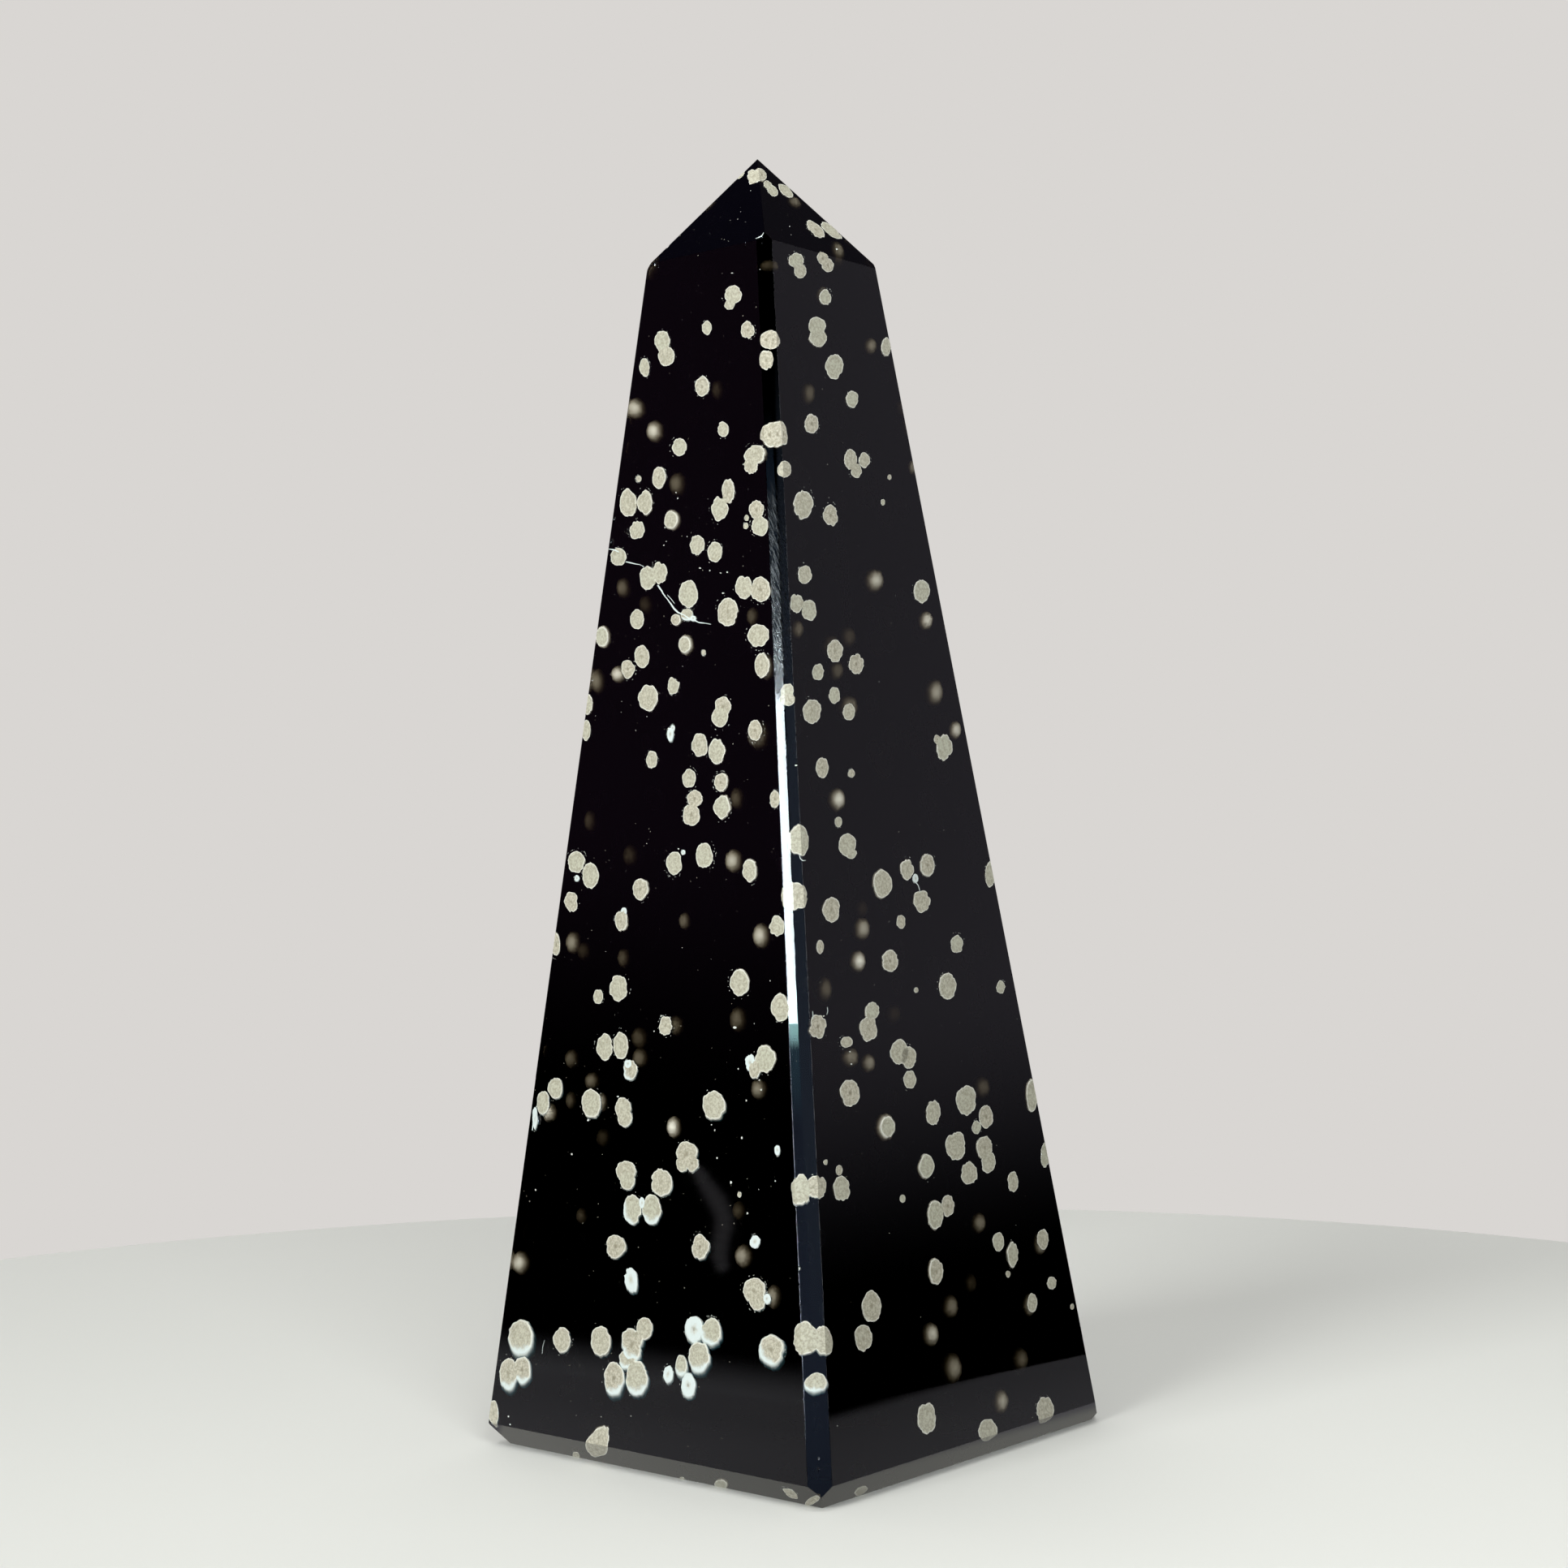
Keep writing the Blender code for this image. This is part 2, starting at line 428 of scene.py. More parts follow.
SEEN_ON_RIGHT_FACE = [
    (981, 322, 19, 22), (986, 334, 15, 18), (1013.5, 318, 15, 18), (1020, 327, 15, 17),
    (1017, 366, 15, 20), (1007, 402, 22, 24), (1008, 416, 23, 24), (1028, 452, 25, 34),
    (1050, 492, 15, 22), (1092, 427, 12, 24), (1000, 522, 18, 26), (990, 622, 25, 37),
    (1023, 635, 19, 28), (1048, 566, 17, 28), (1065, 567, 14, 20), (1055, 580, 15, 20),
    (1096, 588, 5, 7), (1088, 619, 5, 8), (992, 708, 17, 23), (1136, 729, 20, 30),
    (1029, 802, 20, 28), (1055, 818, 20, 27), (1008, 828, 15, 21), (1028, 857, 14, 21),
    (1046, 877, 15, 21), (1000.5, 877, 25, 33), (1013, 946, 16, 26), (1049, 953, 9, 11),
    (1033, 1013, 9, 13), (1044, 1041, 23, 31), (1049, 1052, 14, 13), (1164, 921, 20, 34),
    (1155, 911, 9, 12), (1024, 1121, 22, 33), (1118, 1072, 17, 27), (1143, 1066, 18, 29),
    (1136, 1111, 21, 28), (1088, 1089, 24, 38), (1110, 1136, 11, 18), (1097, 1184, 20, 28),
    (1008, 1265, 22, 32), (1220, 1077, 12, 34), (1179, 1163, 16, 24), (1233, 1216, 12, 18),
    (1168, 1215, 22, 34), (1129, 1220, 5, 7), (1075, 1245, 18, 22), (1070, 1268, 23, 34),
    (1108, 1296, 24, 34), (1120, 1303, 18, 28), (1121, 1330, 17, 24), (1047, 1347, 26, 36),
    (1150, 1371, 18, 32), (1190, 1356, 26, 40), (1215, 1376, 18, 30), (1203, 1389, 12, 18),
    (1177, 1412, 25, 36), (1213, 1414, 20, 30), (1218, 1432, 18, 28), (1194, 1445, 21, 30),
    (1142, 1437, 20, 32), (1248, 1456, 13, 26), (1272, 1350, 14, 42), (1288, 1423, 12, 34),
    (1037, 1464, 22, 34), (1034, 1442, 9, 14), (1017, 1432, 5, 7), (1153, 1497, 20, 38),
    (1168, 1486, 18, 30), (1112, 1477, 7, 10), (1230, 1530, 15, 26), (1248, 1546, 14, 34),
    (1285, 1527, 15, 28), (1154, 1567, 18, 34), (1296, 1581, 12, 16), (1272, 1605, 12, 24),
    (1043, 1284, 16, 15), (1074, 1609, 26, 42), (1242, 1570, 6, 9),
    (1064, 1649, 23, 36), (1142, 1748, 23, 40), (1217, 1763, 24, 30), (1288, 1738, 22, 34),
    (1061, 1837, 18, 9, -28), (1321, 1610, 5, 8),
]
# These have a painted blue-white glow, a crescent on the lower side of their skin
SEEN_WITH_PAINTED_GLOW = [
    (641, 1647, 30, 43), (626, 1692.5, 21.5, 39), (643, 1688, 20, 33), (779, 1656, 26, 39),
    (773, 1674, 20, 24), (756.5, 1698, 24.5, 41), (784.5, 1698, 27, 42), (876, 1640, 24, 34),
    (861, 1672, 26, 37), (839, 1682, 14, 25), (950, 1663, 30, 38), (1006, 1703, 26, 24),
    (776.7, 1318.4, 17, 25), (779, 1490, 22, 38),
    (803, 1490, 24, 38), (846, 757, 15, 15),
]
# These are white nearly all over
SEEN_WHITE = [
    (855, 1638, 22, 32), (823, 1693, 12, 21), (848, 1706, 17, 29), (924, 1309, 12, 21),
    (777, 1577, 16, 30), (930, 1530, 13, 16), (957.7, 1417.4, 7, 13), (945, 1600, 9, 12),
    (711, 1082, 6, 8), (768.6, 1123, 7, 10), (826, 905, 8, 17), (829, 897, 5, 8),
    (659, 1378, 6, 28), (1128, 1082, 7, 11), (842, 1050, 5, 6),
    (791, 1482, 7, 14), (773.7, 1311, 9, 10), (854, 762, 7, 7),
]
# How far the spots stand above the polish, so little that they look flush
PROUD_LEAST = 0.000006
PROUD_MOST = 0.000014
OUTLINE_POINTS = 40
SMALL_OUTLINE_POINTS = 14
SMALL_GROWTH = 0.0004
# A growth's outline reaches 1 at most.  Its lobes are round, and some have a bud.
LOBE_COUNTS = (5, 6, 7, 8, 9)
LOBE_SWAY = 0.35
LOBE_OUT = (0.40, 0.54)
LOBE_RADIUS = (0.40, 0.53)
BUD_SHARE = 0.25
BUD_OUT = 0.78
BUD_RADIUS = 0.24
LEAST_REACH = 0.78
OVAL_REACH = 0.92
RAGGEDNESS = 0.035
# Small bites out of an outline, as shares of its reach
BITE_COUNT = (2, 5)
BITE_DEPTH = (0.06, 0.20)
SECOND_BITE = (0.3, 1.0)
# How far into a neighbour a point counts as swallowed, as the square of a share
WELL_INSIDE = 0.85
# The attribute growth at a corner that has no skin of its own
SKINLESS = 0.6
# How much painted glow a spot with the glowing crescent gets, how white a white one is, and the
# middle of a white one
PAINTED_RIM_GLOW = 0.85
WHITE = 1.0
WHITE_MIDDLE = 0.5
# The painted glow is a crescent on the lower left of a spot, and turns blue under the polish
PAINTED_GLOW_TOWARDS = math.radians(250.0)
PAINTED_GLOW_SWAY = 0.7
PAINTED_GLOW_LEVEL = 0.4
PAINTED_GLOW_SWING = 0.9
BLUE_AT_DEPTH = 0.00030
# Rings of corners in a growth that is cut nearly through its middle, and in one whose
# flanks are seen
CUT_LAYERS = 4
FLANK_LAYERS = 8
# Corners this near a grinding plane lie on it
ON_CUT = 3e-7
CUT_TOLERANCE = 1e-8


def new_crop():
    """An empty collection of growths, to be filled and made into one mesh."""
    return {"points": [], "faces": [], "smooth": [], "growth": [], "tone": [], "white_and_painted_glow": []}


def swallowed(point, neighbours):
    """Whether a point of one spot's outline lies well inside a neighbouring spot."""
    for middle, across, upward in neighbours:
        offset = point - middle
        sideways = offset.dot(across) / across.length_squared
        upright = offset.dot(upward) / upward.length_squared
        if sideways ** 2 + upright ** 2 < WELL_INSIDE:
            return True
    return False


def lobed_outline(count, roundness, chance):
    """A growth's outline: the union of a few round lobes, fitted between -1 and 1.

    A roundness of 0 leaves the lobes as they are, and 1 makes a plain oval.
    """
    how_many = chance.choice(LOBE_COUNTS)
    first = chance.uniform(0.0, math.tau)
    lobes = []
    for number in range(how_many):
        sway = chance.uniform(-LOBE_SWAY, LOBE_SWAY)
        turn = first + math.tau * (number + sway) / how_many
        out = chance.uniform(*LOBE_OUT)
        lobes.append((out * math.cos(turn), out * math.sin(turn), chance.uniform(*LOBE_RADIUS)))
    if chance.random() < BUD_SHARE:
        turn = chance.uniform(0.0, math.tau)
        lobes.append((BUD_OUT * math.cos(turn), BUD_OUT * math.sin(turn), BUD_RADIUS))
    bites = {}
    if count == OUTLINE_POINTS:
        for bite in range(chance.randint(*BITE_COUNT)):
            step = chance.randrange(count)
            bites[step] = chance.uniform(*BITE_DEPTH)
            bites[(step + 1) % count] = bites[step] * chance.uniform(*SECOND_BITE)
    points = []
    for step in range(count):
        turn = math.tau * step / count
        reach = LEAST_REACH
        for x, y, radius in lobes:
            along = x * math.cos(turn) + y * math.sin(turn)
            beside = x * x + y * y - along * along
            if beside < radius * radius:
                reach = max(reach, along + math.sqrt(radius * radius - beside))
        reach *= 1.0 - bites.get(step, 0.0)
        reach += (OVAL_REACH - reach) * roundness
        reach *= chance.uniform(1.0 - RAGGEDNESS, 1.0 + RAGGEDNESS)
        points.append((reach * math.cos(turn), reach * math.sin(turn)))
    left = min(x for x, y in points)
    right = max(x for x, y in points)
    low = min(y for x, y in points)
    high = max(y for x, y in points)
    return [((2 * x - left - right) / (right - left), (2 * y - low - high) / (high - low))
            for x, y in points]


def grow_spherulite(crop, middle, across, upward, inward, chance, roundness,
                    white_and_painted_glow=(0.0, 0.0), neighbours=(), layers=CUT_LAYERS, bluntness=1.0):
    """Add one growth round its middle, then grind it off with the stone's own facets.

    across, upward and inward are its three half widths.  The attribute growth is 0 in
    the middle of a cut and 1 on the skin.  white_and_painted_glow is a pair: how white a
    white cut is, or else the painted glow on the cut's rim, and the painted glow on the
    flank below it.  A bluntness below 1 makes a flatter top.
    """
    count = OUTLINE_POINTS if upward.length > SMALL_GROWTH else SMALL_OUTLINE_POINTS
    outline = lobed_outline(count, roundness, chance)
    blob = bmesh.new()
    rings = []
    for layer in range(1, layers):
        latitude = math.pi * (layer / layers - 0.5)
        width = math.cos(latitude) ** bluntness
        rings.append([blob.verts.new(middle + (across * x + upward * y) * width
                                     - inward * math.sin(latitude)) for x, y in outline])
    bottom = blob.verts.new(middle + inward)
    top = blob.verts.new(middle - inward)
    for step in range(count):
        after = (step + 1) % count
        blob.faces.new((bottom, rings[0][after], rings[0][step]))
        blob.faces.new((top, rings[-1][step], rings[-1][after]))
        for low, high in zip(rings, rings[1:]):
            blob.faces.new((low[step], low[after], high[after], high[step]))
    bmesh.ops.recalc_face_normals(blob, faces=blob.faces)

    ground_at = []
    proud = chance.uniform(PROUD_LEAST, PROUD_MOST)
    for place, looks in ground_facets + [foot]:
        level = 0.0 if looks == foot[1] else proud
        if max((corner.co - place).dot(looks) for corner in blob.verts) > level:
            cut = bmesh.ops.bisect_plane(
                blob, geom=blob.verts[:] + blob.edges[:] + blob.faces[:], dist=CUT_TOLERANCE,
                plane_co=place + looks * level, plane_no=looks, clear_outer=True)
            rim = [piece for piece in cut["geom_cut"] if isinstance(piece, bmesh.types.BMEdge)]
            if rim:
                bmesh.ops.holes_fill(blob, edges=rim, sides=0)
                ground_at.append((place + looks * level, looks))
            if not blob.verts:
                blob.free()
                return
    cuts = [face for face in blob.faces
            if any(all(abs((corner.co - place).dot(looks)) < ON_CUT for corner in face.verts)
                   for place, looks in ground_at)]
    cut_corners = {}
    for face in cuts:
        for corner in face.verts:
            cut_corners[corner] = cut_corners.get(corner, 0) + 1
    growth = {}
    for corner in blob.verts:
        hidden = cut_corners.get(corner, 0) > 1 or swallowed(corner.co, neighbours)
        growth[corner] = SKINLESS if hidden else 1.0
    poked = bmesh.ops.poke(blob, faces=cuts)
    for corner in poked["verts"]:
        growth[corner] = 0.0
    flat = set(poked["faces"])

    tone = chance.random()
    towards = PAINTED_GLOW_TOWARDS + chance.uniform(-PAINTED_GLOW_SWAY, PAINTED_GLOW_SWAY)
    start = len(crop["points"])
    numbers = {}
    for number, corner in enumerate(blob.verts):
        numbers[corner] = start + number
        offset = corner.co - middle
        turn = math.atan2(offset.dot(upward) / upward.length_squared,
                          offset.dot(across) / across.length_squared)
        crescent = PAINTED_GLOW_LEVEL + PAINTED_GLOW_SWING * math.cos(turn - towards)
        crescent = min(1.0, max(0.0, crescent))
        if growth[corner] == 0.0:
            level = WHITE_MIDDLE if white_and_painted_glow[0] == WHITE else 0.0
        elif corner in cut_corners:
            level = white_and_painted_glow[0] if white_and_painted_glow[0] == WHITE else white_and_painted_glow[0] * crescent
        else:
            depth = -max((corner.co - place).dot(looks) for place, looks in ground_facets)
            level = white_and_painted_glow[1] * (1.0 + min(1.0, depth / BLUE_AT_DEPTH))
        crop["points"].append(corner.co.copy())
        crop["growth"].append(growth[corner])
        crop["tone"].append(tone)
        crop["white_and_painted_glow"].append(level)
    for face in blob.faces:
        crop["faces"].append([numbers[corner] for corner in face.verts])
        crop["smooth"].append(face not in flat)
    blob.free()


def make_piece(crop, name, material):
    """Make the collected growths one mesh, riding with the stone."""
    mesh = bpy.data.meshes.new(name)
    mesh.from_pydata(crop["points"], [], crop["faces"])
    mesh.polygons.foreach_set("use_smooth", crop["smooth"])
    for attribute in ("growth", "tone", "white_and_painted_glow"):
        mesh.attributes.new(attribute, "FLOAT", "POINT").data.foreach_set("value", crop[attribute])
    mesh.materials.append(material)
    piece = bpy.data.objects.new(name, mesh)
    bpy.context.scene.collection.objects.link(piece)
    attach(piece, "root")
    return piece


def lay_in_picture(x, y, width, height, turn=0.0):
    """A spot of the photo on its facet: middle, half widths, and the way the facet looks."""
    number, distance = seen_facet(sight_line(x, y))
    place, looks = ground_facets[number]
    points = []
    for right, down in ((0, 0), (math.cos(turn), math.sin(turn)), (-math.sin(turn), math.cos(turn))):
        line = sight_line(x + right, y + down)
        points.append(CAMERA_PLACE + line * ((place - CAMERA_PLACE).dot(looks) / line.dot(looks)))
    across = (points[1] - points[0]) * width / 2
    upward = (points[0] - points[2]) * height / 2
    return points[0], across, upward, looks


# Cut spherulite: fine fibres that grew outward, so a cut shows a darker middle with
# wandering veins about 0.3 mm apart, and a paler skin about 0.1 mm thick.
VEIN_SPACING_MM = 0.36
MOTTLE_MM = 0.20
spherulite = bpy.data.materials.new("cut_spherulite")
spherulite.use_nodes = True
tree = spherulite.node_tree
tree.nodes.clear()
where = add_node(tree, "ShaderNodeTexCoord")
grown = add_node(tree, "ShaderNodeAttribute", attribute_name="growth")
toned = add_node(tree, "ShaderNodeAttribute", attribute_name="tone")
white_and_glow_attribute = add_node(tree, "ShaderNodeAttribute", attribute_name="white_and_painted_glow")
wander = add_node(tree, "ShaderNodeTexNoise", {
    "Vector": where.outputs["Object"],
    "Scale": 1000.0 / VEIN_SPACING_MM,
    "Detail": 2.0,
    "Distortion": 0.6,
})
off_vein = add_node(tree, "ShaderNodeMath", {
    0: wander.outputs["Fac"],
    1: 0.5,
}, operation="SUBTRACT")
off_vein = add_node(tree, "ShaderNodeMath", {0: off_vein.outputs[0]}, operation="ABSOLUTE")
vein = add_node(tree, "ShaderNodeMapRange", {
    "Value": off_vein.outputs[0],
    "From Min": 0.0,
    "From Max": 0.060,
    "To Min": 1.0,
    "To Max": 0.0,
}, interpolation_type="SMOOTHSTEP")
vein_strength = add_node(tree, "ShaderNodeMapRange", {
    "Value": toned.outputs["Fac"],
    "To Min": 0.25,
    "To Max": 0.75,
})
vein = add_node(tree, "ShaderNodeMath", {
    0: vein.outputs["Result"],
    1: vein_strength.outputs["Result"],
}, operation="MULTIPLY")
mottle = add_node(tree, "ShaderNodeTexNoise", {
    "Vector": where.outputs["Object"],
    "Scale": 1000.0 / MOTTLE_MM,
    "Detail": 2.0,
    "Roughness": 0.6,
})
speckled = add_node(tree, "ShaderNodeMapRange", {
    "Value": mottle.outputs["Fac"],
    "From Min": 0.40,
    "From Max": 0.66,
    "To Min": 0.0,
    "To Max": 0.85,
}, interpolation_type="SMOOTHSTEP")
heart = add_node(tree, "ShaderNodeMapRange", {
    "Value": grown.outputs["Fac"],
    "From Min": 0.04,
    "From Max": 0.28,
    "To Min": 0.9,
    "To Max": 0.0,
}, interpolation_type="SMOOTHSTEP")
some = add_node(tree, "ShaderNodeMapRange", {
    "Value": toned.outputs["Fac"],
    "From Min": 0.45,
    "From Max": 0.95,
})
with_heart = add_node(tree, "ShaderNodeMath", {
    0: heart.outputs["Result"],
    1: some.outputs["Result"],
}, operation="MULTIPLY")
ragged = add_node(tree, "ShaderNodeMath", {
    0: wander.outputs["Fac"],
    1: 0.14,
    2: grown.outputs["Fac"],
}, operation="MULTIPLY_ADD")
line_off = add_node(tree, "ShaderNodeMath", {
    0: ragged.outputs[0],
    1: 0.76,
    2: 0.045,
}, operation="COMPARE")
growth_line = add_node(tree, "ShaderNodeMath", {
    0: line_off.outputs[0],
    1: 0.3,
}, operation="MULTIPLY")
skin = add_node(tree, "ShaderNodeMapRange", {
    "Value": ragged.outputs[0],
    "From Min": 0.94,
    "From Max": 1.05,
}, interpolation_type="SMOOTHSTEP")
# The attribute white_and_painted_glow whitens the white spots, paints a blue-white glow on the lower
# rims of some spots and on flanks under the polish, and paints glints on pale specks and seams.
grainy_white_and_glow = add_node(tree, "ShaderNodeMath", {
    0: mottle.outputs["Fac"],
    1: 0.4,
    2: white_and_glow_attribute.outputs["Fac"],
}, operation="MULTIPLY_ADD")
white_and_painted_glow = add_node(tree, "ShaderNodeMapRange", {
    "Value": grainy_white_and_glow.outputs[0],
    "From Min": 0.62,
    "From Max": 1.00,
}, interpolation_type="SMOOTHSTEP")
blue = add_node(tree, "ShaderNodeMapRange", {
    "Value": white_and_glow_attribute.outputs["Fac"],
    "From Min": 1.15,
    "From Max": 1.75,
})
white_and_glow_colour = add_node(tree, "ShaderNodeMix", {
    "Factor": blue.outputs["Result"],
    "A": linear("#E4EFEB"),
    "B": linear("#5F9DB8"),
}, data_type="RGBA")
shade = add_node(tree, "ShaderNodeMix", {
    "Factor": toned.outputs["Fac"],
    "A": linear("#CCCDB8"),
    "B": linear("#D3CEBB"),
}, data_type="RGBA")
for amount, colour in (
        (speckled.outputs["Result"], linear("#AFAA96")), (with_heart.outputs[0], linear("#8B846F")),
        (growth_line.outputs[0], linear("#A09A86")), (vein.outputs[0], linear("#A39D88")),
        (skin.outputs["Result"], linear("#E6E6D8")),
        (white_and_painted_glow.outputs["Result"], white_and_glow_colour.outputs["Result"])):
    shade = add_node(tree, "ShaderNodeMix", {
        "Factor": amount,
        "A": shade.outputs["Result"],
        "B": colour,
    }, data_type="RGBA")
surface = add_node(tree, "ShaderNodeBsdfPrincipled", {
    "Base Color": shade.outputs["Result"],
    "Roughness": 0.10,
    "IOR": 1.48,
})
add_node(tree, "ShaderNodeOutputMaterial", {"Surface": surface.outputs["BSDF"]})

# Low on the left face and the strip the flanks under the polish get the painted blue-white
# glow as well, and near the foot they reach out under it like shelves.
GLOWING_FLANK_SIDES = [looks for place, looks in tall_faces[2:3] + corner_strips[4:6]]
GLOWING_FLANKS_BELOW = 0.030
SHELVED_BELOW = 0.014
# How far under the polish a growth's middle lies, as a share of its depth, how deep it
# is, as a share of its half width, and how far it leans, as a share of its half height
GLOWING_FLANK_SHAPE = {"sunk": (0.18, 0.32), "depth": 0.70, "lean": (0.25, 0.40)}
SHELVED = {"sunk": (0.45, 0.58), "depth": 0.55, "lean": (0.35, 0.55)}
PLAIN_SUNK = (-0.40, 0.20)
PLAIN_LEAN = 0.2
CUT_ROUNDNESS = (0.15, 0.65)
# Spots with their middles this near are neighbours, and below the second value it is the
# spot itself
NEIGHBOURLY = 0.003
SAME_SPOT = 0.00001


def any_lean(looks, depth, across, upward, chance):
    """The inward half width of a growth that leans a little to any side."""
    return (looks * -depth + upward * chance.uniform(-PLAIN_LEAN, PLAIN_LEAN)
            + across * chance.uniform(-PLAIN_LEAN, PLAIN_LEAN))


placed = []
for white_and_painted_glow, spots in ((0.0, SEEN_ON_PYRAMID + SEEN_ON_LEFT_FACE + SEEN_ON_STRIP
                      + SEEN_ON_RIGHT_FACE), (PAINTED_RIM_GLOW, SEEN_WITH_PAINTED_GLOW), (WHITE, SEEN_WHITE)):
    for x, y, width, height, *turned in spots:
        middle, across, upward, looks = lay_in_picture(
            x, y, width, height, math.radians(sum(turned)))
        placed.append((middle, across, upward, looks, white_and_painted_glow))
cut_open = new_crop()
chance = random.Random(11)
for middle, across, upward, looks, white_and_painted_glow in placed:
    size = (across.length + upward.length) / 2
    # Spots with the painted rim glow, and those low on the left face and strip, also get a painted
    # blue-white glow on their flanks.
    glowing_flanks = white_and_painted_glow > 0.0 or (looks in GLOWING_FLANK_SIDES and middle.z < GLOWING_FLANKS_BELOW)
    if glowing_flanks:
        kept = SHELVED if white_and_painted_glow > 0.0 and middle.z < SHELVED_BELOW else GLOWING_FLANK_SHAPE
        sunk = chance.uniform(*kept["sunk"])
        inward = looks * -size * kept["depth"] - upward * chance.uniform(*kept["lean"])
    else:
        sunk = chance.uniform(*PLAIN_SUNK)
        inward = any_lean(looks, size, across, upward, chance)
    widened = 1.0 / math.cos(math.asin(sunk))
    neighbours = [other[:3] for other in placed
                  if SAME_SPOT < (other[0] - middle).length < NEIGHBOURLY]
    grow_spherulite(cut_open, middle + inward * sunk, across * widened, upward * widened,
                    inward, chance, chance.uniform(*CUT_ROUNDNESS),
                    (white_and_painted_glow, 1.0 if glowing_flanks else 0.0), neighbours,
                    layers=FLANK_LAYERS if glowing_flanks else CUT_LAYERS)
make_piece(cut_open, "cut_spherulites_near_sides", spherulite)

# Spherulites that the grinding barely reached or missed.  The glass over them turns them
# brown, takes their edges away and, half a millimetre down, nearly hides them.  Read from
# the photo in the same way, and sorted by how dark they are there.
SEEN_VEILED = [
    (829, 641, 18, 24), (744, 785, 16, 26), (833.6, 764, 12, 14), (846, 795, 17, 24),
    (889, 1828, 16, 12), (1090, 1389, 22, 32), (1010, 1167, 8, 16),
]
SEEN_SKINNED = [
    (831, 1389, 16, 26), (1056, 1185, 18, 26), (1176, 900, 14, 22), (1140, 765, 16, 22),
    (1030, 986, 19, 28),
]
SEEN_HAZY = [
    (785, 504, 22, 26), (808, 532, 20, 26), (763, 831, 18, 20), (905, 1061, 20, 28),
    (939, 1153, 20, 30), (643, 1556, 20, 28), (678, 1371, 16, 22), (1146, 1644, 18, 28),
    (1150, 854, 20, 32), (1232, 1727, 18, 30), (1061, 1145, 18, 26), (1268, 1608, 14, 26),
    (1076, 716, 22, 28), (945, 822, 16, 30), (1281, 1532, 14, 26),
]
SEEN_DIM = [
    (707, 1162, 17, 26), (978, 250, 20, 12, 38), (917, 1548, 20, 28), (742, 1358, 12, 22),
    (936, 1342, 18, 24), (954, 1598, 16, 28), (1205, 1507, 16, 24), (1072, 427, 14, 20),
    (1172, 1686, 22, 36), (1046, 1303, 20, 24), (1069, 1310, 16, 22), (1170, 1610, 18, 28),
    (1123, 576, 7, 16), (1031, 311, 16, 26, -20), (1013, 364, 14, 20), (1044, 872, 22, 28),
    (936, 906, 26, 36),
]
SEEN_BROWN = [
    (836, 597, 20, 28), (730, 1332, 16, 20), (844, 1135, 13, 20), (789.5, 1304, 18, 24),
    (911, 1256, 20, 30), (769, 725, 16, 24), (738, 840, 16, 30), (1256, 1675, 18, 28),
    (1030, 827, 16, 24), (1015, 1219, 17, 30), (995, 486, 15, 26), (982, 776, 14, 22),
    (1209, 1340, 18, 26), (1023, 797, 20, 26),
]
SEEN_DARK = [
    (834, 1264, 16, 24), (928, 760, 14, 22), (789, 1279, 19, 26), (705, 1305, 15, 22),
    (909, 984, 16, 26), (769, 1181, 14, 22), (704, 1356, 12, 20), (1044, 786, 18, 26),
]
SEEN_FAINT = [
    (947, 328, 18, 13), (885, 481, 14, 24), (797, 746, 16, 24), (728, 1012, 14, 26),
    (720, 1172, 16, 22), (911, 1492, 15, 22), (717, 1498, 12, 18), (778, 1054, 18, 26),
    (744, 1402, 16, 22), (1061, 1120, 14, 20), (1100, 1250, 16, 22), (1195, 1581, 14, 22),
]
# The glass over a growth's top, in metres.  Below 0 the grinding took its top off.
VEILED_COVER = (-0.00028, -0.00018)
SKINNED_COVER = (0.00001, 0.00004)
HAZY_COVER = (0.00005, 0.00011)
DIM_COVER = (0.00015, 0.00021)
BROWN_COVER = (0.00025, 0.00033)
DARK_COVER = (0.00034, 0.00042)
FAINT_COVER = (0.00046, 0.00056)
SUNKEN_SCALE = 1.12
# The sunken growths are a little flat
FLATNESS = 0.75
SUNKEN_BLUNTNESS = 0.85
SUNKEN_ROUNDNESS = 0.75


def bent_inward(direction, looks):
    """The way a sight line goes on inside the glass."""
    cosine = -direction.dot(looks)
    into = direction / GLASS_IOR
    return into + looks * (cosine / GLASS_IOR
                           - math.sqrt(1.0 - (1.0 - cosine ** 2) / GLASS_IOR ** 2))


sunken = new_crop()
for cover_range, spots in ((VEILED_COVER, SEEN_VEILED), (SKINNED_COVER, SEEN_SKINNED),
                           (HAZY_COVER, SEEN_HAZY), (DIM_COVER, SEEN_DIM),
                           (BROWN_COVER, SEEN_BROWN), (DARK_COVER, SEEN_DARK),
                           (FAINT_COVER, SEEN_FAINT)):
    for x, y, width, height, *turned in spots:
        middle, across, upward, looks = lay_in_picture(
            x, y, width * SUNKEN_SCALE, height * SUNKEN_SCALE, math.radians(sum(turned)))
        thick = (across.length + upward.length) / 2 * FLATNESS
        line = bent_inward((middle - CAMERA_PLACE).normalized(), looks)
        below = (chance.uniform(*cover_range) + thick) / -line.dot(looks)
        grow_spherulite(sunken, middle + line * below, across, upward, looks * -thick, chance,
                        SUNKEN_ROUNDNESS, layers=FLANK_LAYERS, bluntness=SUNKEN_BLUNTNESS)
make_piece(sunken, "sunken_spherulites_near_sides", spherulite)

